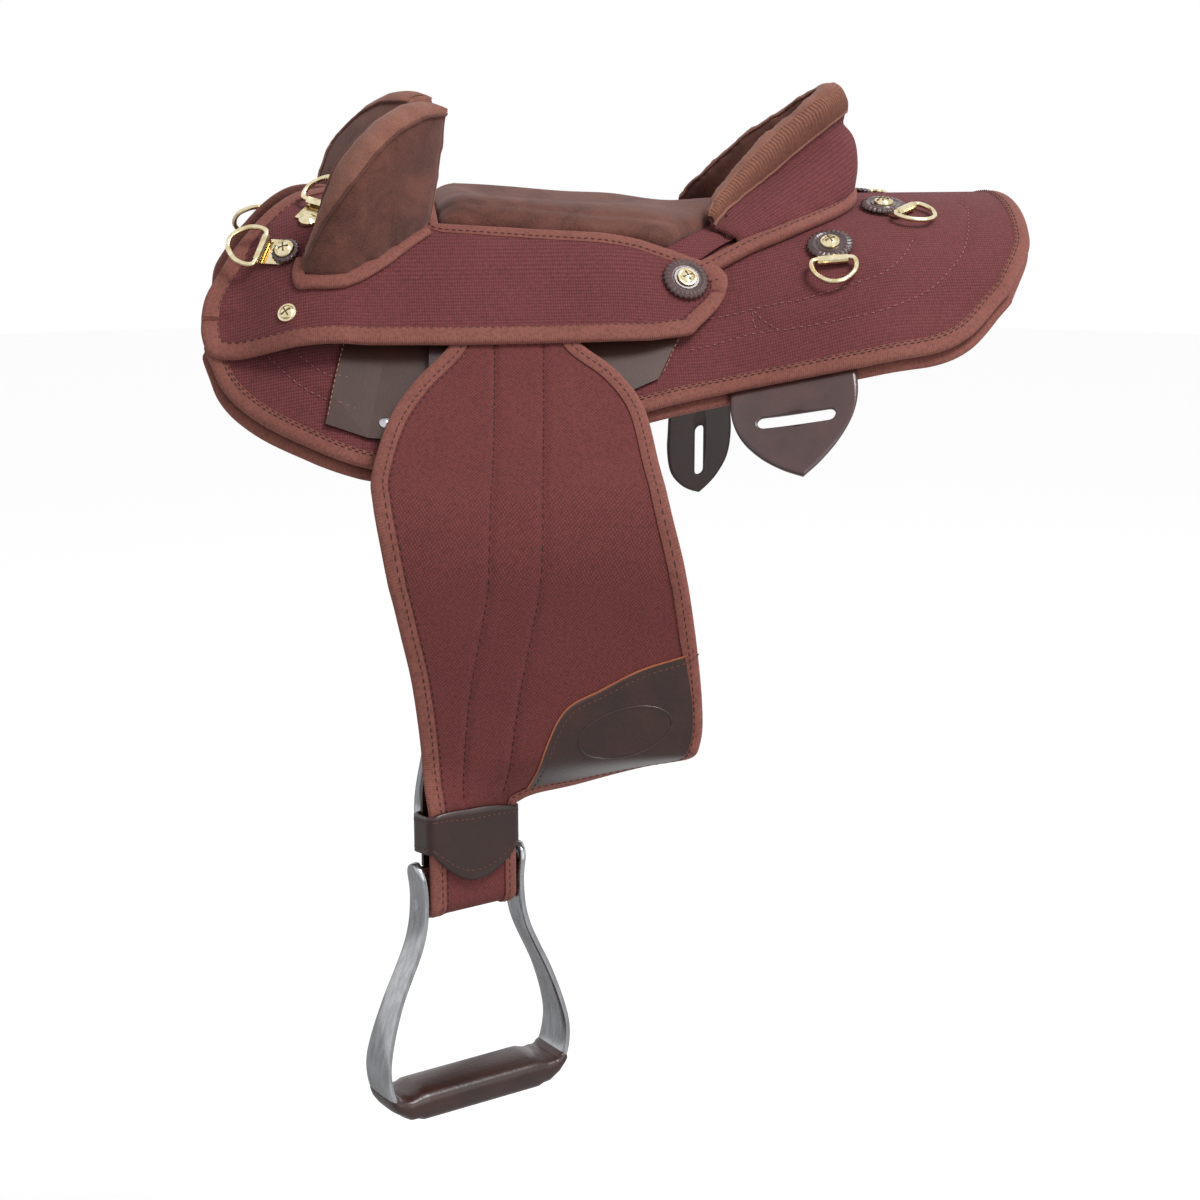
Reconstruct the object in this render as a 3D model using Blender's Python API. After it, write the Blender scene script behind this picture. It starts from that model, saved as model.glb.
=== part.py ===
# Half breed saddle: cloth-covered skirts and fenders on a moulded tree, with leather and brass fittings.
# Units are metres, +Z is up, the pommel is toward -X and the left (near) side is toward -Y.
# The origin lies on the top line of the horse's back, under the middle of the seat.
# Sheet pieces are laid on a "form", the shape of the horse's back: a point of it is (x, s),
# where s is the distance down from the spine, and a height is measured square to it.
import functools
import math

import bmesh
import bpy
import numpy as np
from mathutils import Matrix, Vector

NEAR = -1
FAR = 1
SIDES = {"left": NEAR, "right": FAR}

# Form of the horse's back
FLANK_ANGLE = math.radians(52.0)
REAR_FLANK_ANGLE = math.radians(56.0)
FRONT_CROWN_RADIUS = 0.100
SEAT_CROWN_RADIUS = 0.300
SEAT_CROWN_WIDTH = 0.060
SEAT_SHOULDER_RADIUS = 0.090
REAR_CROWN_RADIUS = 0.230
WITHER_RISE = 0.012
LOIN_RISE = 0.018
SEAT_SPINE_HEIGHT = -0.012

# Layers, from the horse outward
LAYER_GAP = 0.0006
SOFT_GAP = 0.0006
FIT_GAP = 0.0004
PANEL_THICKNESS = 0.012
FLAP_THICKNESS = 0.003
SKIRT_THICKNESS = 0.0055
RIGGING_THICKNESS = 0.0024
RAIL_THICKNESS = 0.0055
STRAP_THICKNESS = 0.003
FENDER_THICKNESS = 0.004
JOCKEY_THICKNESS = 0.0045
GROUND_SEAT_THICKNESS = 0.0045
TREE_EDGE_THICKNESS = 0.0026
TREE_EASE = 0.0003

PANEL_TOP = PANEL_THICKNESS
FLAP_LOW = PANEL_TOP + LAYER_GAP
FLAP_TOP = FLAP_LOW + FLAP_THICKNESS
SKIRT_LOW = FLAP_TOP + LAYER_GAP
SKIRT_TOP = SKIRT_LOW + SKIRT_THICKNESS
ON_SKIRT = SKIRT_TOP + LAYER_GAP
RIGGING_TOP = ON_SKIRT + RIGGING_THICKNESS
RAIL_TOP = ON_SKIRT + RAIL_THICKNESS
STRAP_LOW = max(RAIL_TOP, RIGGING_TOP) + LAYER_GAP
STRAP_TOP = STRAP_LOW + STRAP_THICKNESS
FENDER_LOW = STRAP_TOP + LAYER_GAP
FENDER_TOP = FENDER_LOW + FENDER_THICKNESS
GROUND_SEAT_TOP = ON_SKIRT + GROUND_SEAT_THICKNESS

# Skirt and panel
SADDLE_FRONT = -0.315
SADDLE_REAR = 0.360
SKIRT_DROP = 0.278
PANEL_MARGIN = 0.009
SPINE_GAP = 0.0008

# Tree
BAR_EDGE = 0.128
RAIL_INNER_EDGE = 0.113
WINDOW_TOP_EDGE = 0.085
WINDOW_HALF_LENGTH = 0.050
RECESS_RAMP = 0.012
TREE_FRONT = -0.188
TREE_REAR = 0.226
POMMEL_RISE = 0.006
POMMEL_REAR = -0.128
RAMP_START = 0.012
RAMP_LENGTH = 0.095
RAMP_ROUNDING = 0.015

# Fender, stirrup leather and what they carry
HANG_X = -0.104
HANG_S = 0.104
SWING_X = {"left": -0.1119, "right": -0.0947}
STRAP_END_S = 0.1025
STRAP_END_HALF_WIDTH = 0.016
HOOK_DEPTH = 0.005
FENDER_TOP_S = 0.150
FENDER_BEND_S = 0.305
BEND_LENGTH = 0.050
FENDER_LENGTH = 0.383
NECK_WIDTH = 0.074
NECK_X = {"left": -0.118, "right": -0.093}
STRAP_WIDTH = 0.068
STIRRUP_YAW = {"left": math.radians(27.0), "right": math.radians(78.0)}
STIRRUP_BAR_Z = -0.488
STIRRUP_BAR_RADIUS = 0.0065
TWIST_LENGTH = {"left": 0.042, "right": 0.100}
RETURN_LENGTH = 0.026

# Hobble strap
HOBBLE_HEIGHT = 0.044
HOBBLE_TOP = 0.067
HOBBLE_THICKNESS = 0.0028

# Blevins buckle
BUCKLE_LENGTH = 0.070
BUCKLE_THICKNESS = 0.002
BUCKLE_Z = {"left": -0.334, "right": -0.277}
SLEEVE_LENGTH = 0.036
SLEEVE_THICKNESS = 0.0014
SLEEVE_TRAVEL = 0.030

# Stirrup
ARM_THICKNESS = 0.007
ARM_DEPTH = 0.024
TREAD_DEPTH = 0.046
TREAD_THICKNESS = 0.026
TREAD_HALF_LENGTH = 0.062
TREAD_DROP = 0.159
EAR_TOP = 0.034
ARM_TOP_HALF_WIDTH = 0.0455
STIRRUP_HALF_WIDTH = 0.0815

# Rings, clips, rosettes and screws
RING_WIDTH = 0.036
RING_DEPTH = 0.027
RING_WIRE_RADIUS = 0.0021
CLIP_WIDTH = 0.024
CLIP_THICKNESS = 0.0014
CLIP_REACH = 0.021
ROSETTE_RADIUS = 0.0185
FRONT_ROSETTE_RADIUS = 0.0115
ROSETTE_THICKNESS = 0.003
SCREW_RADIUS = 0.008
SCREW_HEIGHT = 0.004
FRONT_SCREW_BASE = 0.0
SHANK_RADIUS = 0.0025
RING_TILT = math.radians(5.0)
FRONT_RING_TILT = math.radians(-16.0)
POMMEL_RING_TILT = math.radians(-20.0)

# Seat, cantle and knee pads
SEAT_PADDING = 0.006
SEAT_ROLL = 0.006
CANTLE_RIM_LINE = [(0.00, 0.2175, 0.000, 0.1142), (0.10, 0.2150, 0.010, 0.1125),
                   (0.25, 0.1990, 0.022, 0.1030), (0.45, 0.1630, 0.037, 0.0780),
                   (0.66, 0.1300, 0.053, 0.0500), (0.85, 0.1040, 0.071, 0.0260),
                   (1.00, 0.0920, 0.085, 0.0110)]
CANTLE_RIM = 0.020
CANTLE_BAND = 0.028
PAD_HEIGHT = 0.110
PAD_THICKNESS = 0.042
PAD_EDGE = 0.017
PAD_LEAN = 0.015
PAD_TURN = 0.022
PAD_EASE = 0.0002

# Rear flaps
FLAP_WIDTH = 0.098
FLAP_DROP = 0.300
FLAP_SLOT_LENGTH = 0.060
FLAP_SLOT_WIDTH = 0.010
KEEPER_WIDTH = 0.062
KEEPER_SLIT_LENGTH = 0.047
KEEPER_SLIT_S = 0.338
KEEPER_TIP = 0.0175
KEEPER_DROP = KEEPER_SLIT_S + KEEPER_SLIT_LENGTH / 2 + KEEPER_TIP
KEEPER_SLIT_WIDTH = 0.009
KEEPER_BEND_S = 0.232
KEEPER_BEND_LENGTH = 0.030


# Small helpers

def smooth(start, end, value):
    t = min(max((value - start) / (end - start), 0.0), 1.0)
    return t * t * (3.0 - 2.0 * t)


def mix(a, b, t):
    return a + (b - a) * t


def curve_through(points, count):
    """Read count + 1 points, evenly spaced along a smooth curve through the given points."""
    pts = [np.array(p, float) for p in points]
    ends = [2 * pts[0] - pts[1]] + pts + [2 * pts[-1] - pts[-2]]
    dense = []
    for k in range(len(pts) - 1):
        p0, p1, p2, p3 = ends[k:k + 4]
        for t in np.linspace(0.0, 1.0, 24, endpoint=False):
            dense.append(0.5 * (2 * p1 + (p2 - p0) * t + (2 * p0 - 5 * p1 + 4 * p2 - p3) * t ** 2
                                + (3 * p1 - p0 - 3 * p2 + p3) * t ** 3))
    dense.append(pts[-1])
    dense = np.array(dense)
    steps = np.r_[0.0, np.cumsum(np.linalg.norm(np.diff(dense, axis=0), axis=1))]
    wanted = np.linspace(0.0, steps[-1], count + 1)
    return np.stack([np.interp(wanted, steps, dense[:, k]) for k in range(dense.shape[1])], axis=1)


def curve_over(points, fractions):
    """Read points of a smooth curve at given fractions of its length in x."""
    dense = curve_through(points, 200)
    wanted = dense[0, 0] + (dense[-1, 0] - dense[0, 0]) * np.array(fractions)
    return np.stack([wanted, np.interp(wanted, dense[:, 0], dense[:, 1])], axis=1)


def line(a, b, count):
    return np.linspace(np.array(a, float), np.array(b, float), count + 1)


def patch(top, bottom, front, rear):
    """Fill four edge curves: top and bottom run rearward, front and rear run downward."""
    columns = len(top) - 1
    rows = len(front) - 1
    grid = np.zeros((columns + 1, rows + 1, 2))
    run = top[-1, 0] - top[0, 0]
    for i in range(columns + 1):
        u = (top[i, 0] - top[0, 0]) / run
        for j in range(rows + 1):
            v = j / rows
            corners = mix(mix(top[0], top[-1], u), mix(bottom[0], bottom[-1], u), v)
            grid[i, j] = mix(top[i], bottom[i], v) + mix(front[j], rear[j], u) - corners
    return grid


def quads_of(grid, keep=None):
    cells = []
    for i in range(grid.shape[0] - 1):
        for j in range(grid.shape[1] - 1):
            if keep is None or keep(i, j):
                cells.append([tuple(grid[a, b]) for a, b in ((i, j), (i + 1, j), (i + 1, j + 1), (i, j + 1))])
    return cells


# Form

def form_angle(x, s):
    front = 1.0 - smooth(-0.31, -0.20, x)
    rear = smooth(0.08, 0.24, x)
    shoulder = min(s, SEAT_CROWN_WIDTH) / SEAT_CROWN_RADIUS
    shoulder += max(s - SEAT_CROWN_WIDTH, 0.0) / SEAT_SHOULDER_RADIUS
    return (front * min(s / FRONT_CROWN_RADIUS, FLANK_ANGLE)
            + rear * min(s / REAR_CROWN_RADIUS, REAR_FLANK_ANGLE)
            + (1.0 - front - rear) * min(shoulder, FLANK_ANGLE))


def spine_height(x):
    front = WITHER_RISE * (1.0 - smooth(-0.30, -0.18, x))
    return SEAT_SPINE_HEIGHT + front + LOIN_RISE * smooth(0.06, 0.24, x)


@functools.lru_cache(maxsize=None)
def form_section(millimetre):
    x = millimetre * 0.001
    step = 0.002
    s = np.arange(0.0, 0.44, step)
    angle = np.array([form_angle(x, v) for v in s])
    y = np.r_[0.0, np.cumsum((np.cos(angle[1:]) + np.cos(angle[:-1])) / 2 * step)]
    z = spine_height(x) - np.r_[0.0, np.cumsum((np.sin(angle[1:]) + np.sin(angle[:-1])) / 2 * step)]
    return s, angle, y, z


def on_form(x, s, height):
    """A point at a height above the form; a negative s lies on the near side."""
    low = math.floor(x * 1000)
    t = x * 1000 - low
    a = form_section(low)
    b = form_section(low + 1)
    angle, y, z = (mix(np.interp(abs(s), a[0], a[k]), np.interp(abs(s), b[0], b[k]), t) for k in (1, 2, 3))
    side = -1.0 if s < 0 else 1.0
    return Vector((x, side * (y + height * math.sin(angle)), z + height * math.cos(angle)))


FLANK_START = SEAT_CROWN_WIDTH + (FLANK_ANGLE - SEAT_CROWN_WIDTH / SEAT_CROWN_RADIUS) * SEAT_SHOULDER_RADIUS


def on_drop(x, t, height, side, bend_at):
    """A point of a sheet that lies flat on the flank and then bends to hang straight down."""
    base = on_form(0.0, FLANK_START, 0.0)
    reach = min(t, bend_at) - FLANK_START
    y = base.y + reach * math.cos(FLANK_ANGLE)
    z = base.z - reach * math.sin(FLANK_ANGLE)
    radius = BEND_LENGTH / (math.pi / 2 - FLANK_ANGLE)
    angle = FLANK_ANGLE + min(max(t - bend_at, 0.0), BEND_LENGTH) / radius
    y += radius * (math.sin(angle) - math.sin(FLANK_ANGLE))
    z -= radius * (math.cos(FLANK_ANGLE) - math.cos(angle))
    z -= max(t - bend_at - BEND_LENGTH, 0.0)
    return Vector((x, side * (y + height * math.sin(angle)), z + height * math.cos(angle)))


def below_skirt(x, s, height):
    """A point of a far-side flap that lies on the form down to its bend and then hangs."""
    bend = min(s, KEEPER_BEND_S)
    base = on_form(x, bend, 0.0)
    start = form_angle(x, bend)
    radius = KEEPER_BEND_LENGTH / (math.pi / 2 - start)
    angle = start + min(max(s - KEEPER_BEND_S, 0.0), KEEPER_BEND_LENGTH) / radius
    base.y += radius * (math.sin(angle) - math.sin(start)) + height * math.sin(angle)
    base.z -= radius * (math.cos(start) - math.cos(angle)) - height * math.cos(angle)
    base.z -= max(s - KEEPER_BEND_S - KEEPER_BEND_LENGTH, 0.0)
    return base


def flank_normal(side):
    return Vector((0.0, side * math.sin(FLANK_ANGLE), math.cos(FLANK_ANGLE)))


# Heights of the upper layers

def tree_lift(x):
    """1 where the jockey rides over the fender, falling in a straight ramp to 0 at its rear corner."""
    run = x - RAMP_START
    fall = max(run, 0.0) if abs(run) > RAMP_ROUNDING else (run + RAMP_ROUNDING) ** 2 / (4 * RAMP_ROUNDING)
    return smooth(-0.305, -0.235, x) * max(1.0 - fall / RAMP_LENGTH, 0.0)


def bend_ease(x):
    """Extra room where flat pieces cross the bends at the withers and the loin."""
    return 0.0012 * (1.0 - smooth(-0.218, -0.192, x)) + 0.0011 * smooth(0.045, 0.068, x)


def pommel_bump(x, s):
    return POMMEL_RISE * (1.0 - smooth(0.0, 0.10, abs(s))) * (1.0 - smooth(-0.165, -0.118, x))


def tree_top(x, s):
    flank = max(mix(SKIRT_TOP, FENDER_TOP, tree_lift(x)), ON_SKIRT + TREE_EDGE_THICKNESS) - TREE_EASE
    dish = smooth(0.020, 0.070, abs(s)) * smooth(-0.120, -0.090, x) + 1.0 - smooth(-0.120, -0.090, x)
    return mix(GROUND_SEAT_TOP, flank, dish) + pommel_bump(x, s)


def jockey_low(x, s):
    flank = mix(SKIRT_TOP, FENDER_TOP, tree_lift(x)) + LAYER_GAP
    return max(flank, tree_top(x, s) + LAYER_GAP + TREE_EASE) if abs(s) < BAR_EDGE + 0.004 else flank


def clear_of(height, x, s):
    """The highest value of a height function close to a point, to stay clear of its flat facets."""
    return max(height(x + dx, s + ds) for dx in (-0.014, 0.0, 0.014) for ds in (-0.010, 0.0, 0.010))


def jockey_top(x, s):
    return jockey_low(x, s) + JOCKEY_THICKNESS


# Materials

def material(name, colour, roughness, metallic=0.0):
    made = bpy.data.materials.get(name)
    if made:
        return made
    made = bpy.data.materials.new(name)
    made.use_nodes = True
    shader = made.node_tree.nodes["Principled BSDF"]
    shader.inputs["Base Color"].default_value = (*colour, 1.0)
    shader.inputs["Roughness"].default_value = roughness
    shader.inputs["Metallic"].default_value = metallic
    made.diffuse_color = (*colour, 1.0)
    return made


def cordura():
    return material("burgundy_cordura", (0.147, 0.032, 0.038), 0.85)


def suede():
    return material("brown_suede", (0.195, 0.072, 0.054), 0.95)


def fleece():
    return material("brown_fleece", (0.16, 0.07, 0.05), 1.0)


def dark_leather():
    return material("dark_leather", (0.023, 0.007, 0.005), 0.45)


def flap_leather():
    return material("flap_leather", (0.075, 0.035, 0.033), 0.35)


def brass():
    return material("brass", (0.69, 0.50, 0.25), 0.25, 1.0)


def aluminium():
    return material("brushed_aluminium", (0.42, 0.42, 0.43), 0.35, 1.0)


def steel():
    return material("stainless_steel", (0.60, 0.60, 0.60), 0.25, 1.0)



def moulded_plastic():
    return material("moulded_plastic", (0.03, 0.03, 0.03), 0.6)


# Mesh building

def finish(name, mesh, finish_material, smooth_angle=40.0):
    bmesh.ops.recalc_face_normals(mesh, faces=mesh.faces)
    data = bpy.data.meshes.new(name)
    mesh.to_mesh(data)
    mesh.free()
    data.materials.append(finish_material)
    data.shade_smooth()
    data.set_sharp_from_angle(angle=math.radians(smooth_angle))
    made = bpy.data.objects.new(name, data)
    bpy.context.scene.collection.objects.link(made)
    return made


def slab(name, cells, low, high, finish_material, close=True):
    """A closed sheet: cells of plan points, raised by low and high to its two faces."""
    mesh = bmesh.new()
    keys = {}
    edges = {}

    def corner(point):
        key = (round(point[0], 6), round(point[1], 6))
        if key not in keys:
            keys[key] = (mesh.verts.new(low(*point)), mesh.verts.new(high(*point)))
        return key

    for cell in cells:
        ring = []
        for point in cell:
            key = corner(point)
            if key not in ring:
                ring.append(key)
        if len(ring) < 3:
            continue
        mesh.faces.new([keys[k][0] for k in reversed(ring)])
        mesh.faces.new([keys[k][1] for k in ring])
        for a, b in zip(ring, ring[1:] + ring[:1]):
            if (b, a) in edges:
                del edges[(b, a)]
            else:
                edges[(a, b)] = True
    if close:
        for a, b in edges:
            mesh.faces.new([keys[a][0], keys[b][0], keys[b][1], keys[a][1]])
    return finish(name, mesh, finish_material)


def loft(name, rings, finish_material, closed_path=False, smooth_angle=40.0):
    """A closed body through rings of points; the ends are capped unless the path closes."""
    mesh = bmesh.new()
    made = [[mesh.verts.new(p) for p in ring] for ring in rings]
    count = len(made[0])
    pairs = list(zip(made, made[1:]))
    if closed_path:
        pairs.append((made[-1], made[0]))
    for a, b in pairs:
        for k in range(count):
            mesh.faces.new([a[k], a[(k + 1) % count], b[(k + 1) % count], b[k]])
    if not closed_path:
        mesh.faces.new(list(reversed(made[0])))
        mesh.faces.new(made[-1])
    return finish(name, mesh, finish_material, smooth_angle)


def tube(name, path, radius, sides, finish_material, closed_path=False):
    """A round tube along a planar path; each ring is square to the path."""
    points = [Vector(p) for p in path]
    count = len(points)
    normal = (points[1] - points[0]).cross(points[count // 2] - points[0]).normalized()
    rings = []
    for k, point in enumerate(points):
        before = points[k - 1] if closed_path or k > 0 else point
        after = points[(k + 1) % count] if closed_path or k < count - 1 else point
        along = (after - before).normalized()
        across = along.cross(normal).normalized()
        rings.append([point + radius * (math.cos(a) * across + math.sin(a) * normal)
                      for a in (2 * math.pi * n / sides for n in range(sides))])
    return loft(name, rings, finish_material, closed_path)


def set_origin(piece, point):
    """Move a piece's origin without moving its shape."""
    piece.data.transform(Matrix.Translation(-Vector(point)))
    piece.location = Vector(point)


def surface_frame(x, s, height, pointing):
    """Axes on a sheet's top face: X points along the given angle in the plan, Z points out."""
    step = 0.004
    centre = on_form(x, s, height(x, s))
    along = on_form(x + step, s, height(x + step, s)) - on_form(x - step, s, height(x - step, s))
    down = on_form(x, s + math.copysign(step, s), height(x, s + math.copysign(step, s)))
    down -= on_form(x, s - math.copysign(step, s), height(x, s - math.copysign(step, s)))
    out = along.cross(down).normalized()
    if out.z < 0:
        out.negate()
    along.normalize()
    sideways = out.cross(along).normalized()
    if sideways.dot(down) < 0:
        sideways.negate()
    direction = math.cos(pointing) * along + math.sin(pointing) * sideways
    across = out.cross(direction).normalized()
    made = Matrix.Identity(4)
    for k, axis in enumerate((direction, across, out)):
        made.col[k][:3] = axis
    made.col[3][:3] = centre
    return made


# Outlines in (x, s), near side written as positive s

def skirt_outline(margin):
    """Four edges of the skirt; the panel has the same outline, a margin wider at its lower edge."""
    length = SADDLE_REAR - SADDLE_FRONT
    front_edge = [(0.163, 0.0), (0.118, 0.137), (0.058, 0.277), (0.018, 0.414), (0.004, 0.560)]
    lower_edge = [(0.004, 0.560), (0.031, 0.716), (0.098, 0.874), (0.187, 0.985),
                  (0.330, 0.960), (0.499, 0.831),
                  (0.618, 0.777), (0.776, 0.802), (0.873, 0.759), (0.944, 0.600)]
    rear_edge = [(1.0, 0.0), (0.998, 0.20), (0.991, 0.352), (0.980, 0.450), (0.944, 0.600)]

    def place(points):
        placed = []
        for a, b in points:
            grow = smooth(0.35, 0.75, b)
            s = max(b * SKIRT_DROP + margin * grow, SPINE_GAP)
            x = SADDLE_FRONT + a * length + margin * 0.6 * (2.0 * a - 1.0) * grow
            placed.append((x, s))
        return placed

    return place(front_edge), place(lower_edge), place(rear_edge)


def column_fractions(counts):
    """Columns of a side sheet, closer where the form bends: at the withers and over the loin."""
    stops = [SADDLE_FRONT, -0.195, 0.070, 0.260, SADDLE_REAR]
    fractions = [0.0]
    for start, end, count in zip(stops, stops[1:], counts):
        fractions += [(mix(start, end, (k + 1) / count) - SADDLE_FRONT) / (SADDLE_REAR - SADDLE_FRONT)
                      for k in range(count)]
    return fractions


def side_grid(outline, counts, rows):
    front, lower, rear = outline
    fractions = column_fractions(counts)
    top = np.array([mix(np.array(front[0]), np.array(rear[0]), f) for f in fractions])
    return patch(top, curve_over(lower, fractions), curve_through(front, rows), curve_through(rear, rows))


def mirrored(cells, side):
    return [[(x, side * s) for x, s in cell] for cell in cells]


def flat_sheet(name, cells, side, low, high, finish_material):
    return slab(name, mirrored(cells, side), lambda x, s: on_form(x, s, low(x, s)),
                lambda x, s: on_form(x, s, high(x, s)), finish_material)


# Skirts, panels, rigging plates and rear flaps

def make_skirts():
    for name, side in SIDES.items():
        cells = quads_of(side_grid(skirt_outline(0.0), (7, 6, 9, 4), 12))
        flat_sheet(name + "_skirt", cells, side, lambda x, s: SKIRT_LOW, lambda x, s: SKIRT_TOP, cordura())
        cells = quads_of(side_grid(skirt_outline(PANEL_MARGIN), (6, 4, 9, 3), 9))
        flat_sheet(name + "_panel", cells, side, lambda x, s: 0.0, lambda x, s: PANEL_TOP, fleece())


def make_rigging_plates():
    top_edge = BAR_EDGE + 0.006
    for name, side in SIDES.items():
        front = line((-0.198, top_edge), (-0.2215, 0.240), 4)
        rear = line((0.075, top_edge), (0.038, 0.205), 4)
        top = line(front[0], rear[0], 8)
        bottom = curve_through([(-0.2215, 0.240), (-0.170, 0.255), (-0.070, 0.250), (0.0, 0.222),
                                (0.038, 0.205)], 8)
        cells = quads_of(patch(top, bottom, front, rear))
        flat_sheet(name + "_rigging_plate", cells, side, lambda x, s: ON_SKIRT + bend_ease(x),
                   lambda x, s: RIGGING_TOP + bend_ease(x), dark_leather())


def strip_with_slot(half_width, slot_half, slot_half_height, top, slot_s, tip, rise, lead, taper):
    """Plan cells of a pointed flap with one slot, centred on x = 0."""
    xs = [-1.0, -slot_half / half_width, -0.45 * slot_half / half_width, 0.45 * slot_half / half_width,
          slot_half / half_width, 1.0]
    rows = list(np.linspace(top, slot_s - slot_half_height, lead + 1))
    rows += [mix(slot_s + slot_half_height, tip, f) for f in (0.0, 0.36, 0.66, 0.88, 1.0)]
    shape = [0.95] + [1.0] * lead + taper
    grid = np.zeros((len(xs), len(rows), 2))
    for i, u in enumerate(xs):
        for j, s in enumerate(rows):
            width = half_width * shape[j]
            x = u * width
            if j in (lead, lead + 1) and abs(u) < 0.999:
                x = u * half_width
            grid[i, j] = (x, s - (rise * u * u * shape[j] if j > lead + 1 else 0.0))
    return quads_of(grid, lambda i, j: not (j == lead and 0 < i < len(xs) - 2))


def make_rear_flaps():
    centre = 0.143
    cells = strip_with_slot(FLAP_WIDTH / 2, FLAP_SLOT_LENGTH / 2, FLAP_SLOT_WIDTH / 2,
                            0.172, 0.251, FLAP_DROP, 0.010, 3, [0.98, 0.88, 0.68, 0.42, 0.12])
    cells = [[(centre + x, s) for x, s in cell] for cell in cells]
    flat_sheet("left_rear_flap", cells, NEAR, lambda x, s: FLAP_LOW, lambda x, s: FLAP_TOP, flap_leather())

    cells = strip_with_slot(KEEPER_WIDTH / 2, KEEPER_SLIT_WIDTH / 2, KEEPER_SLIT_LENGTH / 2,
                            0.172, KEEPER_SLIT_S, KEEPER_DROP, 0.003, 9, [0.84, 0.70, 0.51, 0.31, 0.10])
    cells = [[(centre - 0.008 + x, s) for x, s in cell] for cell in cells]
    slab("right_keeper_flap", cells, lambda x, s: below_skirt(x, s, FLAP_LOW),
         lambda x, s: below_skirt(x, s, FLAP_TOP), dark_leather())


# Tree

def make_tree():
    edge = [HANG_X - WINDOW_HALF_LENGTH, HANG_X + WINDOW_HALF_LENGTH]
    xs = sorted([TREE_FRONT, -0.179, edge[0] - RECESS_RAMP, edge[0], HANG_X - 0.025, HANG_X,
                 HANG_X + 0.025, edge[1], edge[1] + RECESS_RAMP, -0.018, 0.008, 0.034])
    s_rows = [0.0, 0.016, 0.032, 0.048, 0.060, 0.0725, WINDOW_TOP_EDGE, 0.099, RAIL_INNER_EDGE, BAR_EDGE]
    rear_top = line((0.034, 0.0), (TREE_REAR, 0.0), 9)
    rear_edge = curve_through([(TREE_REAR, 0.0), (0.220, 0.022), (0.198, 0.050)], 9)
    low_edge = curve_over([(0.034, BAR_EDGE), (0.058, 0.117), (0.082, 0.101), (0.112, 0.084), (0.160, 0.066),
                           (0.198, 0.050)], [k / 9 for k in range(10)])
    joint_column = np.array([(0.034, s) for s in s_rows])
    back = patch(rear_top, low_edge, joint_column, rear_edge)
    front = np.array([[(x, s) for s in s_rows] for x in xs])
    for i, x in enumerate(xs[:3]):
        for j, s in enumerate(s_rows):
            front[i, j, 0] = x - 0.010 * (1.0 - i / 3.0) * smooth(0.0, BAR_EDGE, s)
    window_row = s_rows.index(WINDOW_TOP_EDGE)
    first = xs.index(edge[0])
    last = xs.index(edge[1])
    cells = quads_of(front, lambda i, j: not (first <= i < last and window_row <= j < window_row + 2))
    cells += quads_of(back)
    both = mirrored(cells, FAR) + [cell[::-1] for cell in mirrored(cells, NEAR)]

    def top(x, s):
        in_recess = edge[0] - 1e-6 <= x <= edge[1] + 1e-6 and abs(s) > RAIL_INNER_EDGE - 1e-6
        return RAIL_TOP if in_recess else tree_top(x, s)

    slab("tree", both, lambda x, s: on_form(x, s, ON_SKIRT + bend_ease(x)),
         lambda x, s: on_form(x, s, top(x, s)), moulded_plastic())


# Jockey

def seat_seam(x):
    return float(np.interp(x, [POMMEL_REAR, -0.053, 0.0, 0.033, 0.060, 0.085],
                           [0.078, 0.085, 0.089, 0.093, 0.100, 0.108]))


def make_jockey():
    seam_row = 5
    rows = 12
    front_edge = [(-0.205, 0.0), (-0.244, 0.038), (-0.288, 0.077), (-0.311, 0.115), (-0.314, 0.146)]
    bottom_edge = [(-0.314, 0.146), (-0.302, 0.166), (-0.239, 0.175), (POMMEL_REAR, 0.178)]
    seam_s = seat_seam(POMMEL_REAR)
    column = [(POMMEL_REAR, seam_s * j / seam_row) for j in range(seam_row + 1)]
    column += [tuple(p) for p in line((POMMEL_REAR, seam_s), (POMMEL_REAR, 0.178), rows - seam_row)[1:]]
    column = np.array(column)
    pommel = patch(line(front_edge[0], column[0], 9), curve_through(bottom_edge, 9),
                   curve_through(front_edge, rows), column)
    wing_top = np.array([(x, seat_seam(x)) for x in np.linspace(POMMEL_REAR, 0.085, 12)])
    wing_bottom = curve_through([(POMMEL_REAR, 0.178), (-0.053, 0.178), (0.024, 0.176), (0.066, 0.168)], 11)
    wing_rear = curve_through([(0.085, seat_seam(0.085)), (0.099, 0.118), (0.093, 0.140), (0.066, 0.168)],
                              rows - seam_row)
    wing = patch(wing_top, wing_bottom, column[seam_row:], wing_rear)
    cells = quads_of(pommel) + quads_of(wing)
    both = mirrored(cells, FAR) + [cell[::-1] for cell in mirrored(cells, NEAR)]
    slab("jockey", both, lambda x, s: on_form(x, s, jockey_low(x, s)),
         lambda x, s: on_form(x, s, jockey_top(x, s)), cordura())


# Seat, cantle and knee pads

SEAT_LANES = [0.0, 0.20, 0.40, 0.56, 0.68, 0.78, 0.86, 0.915, 0.95, 1.0]
SEAT_REAR_EDGE = [(0.131, 0.0), (0.127, 0.022), (0.117, 0.043), (0.098, 0.058), (0.079, 0.072),
                  (0.054, 0.095)]


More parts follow.
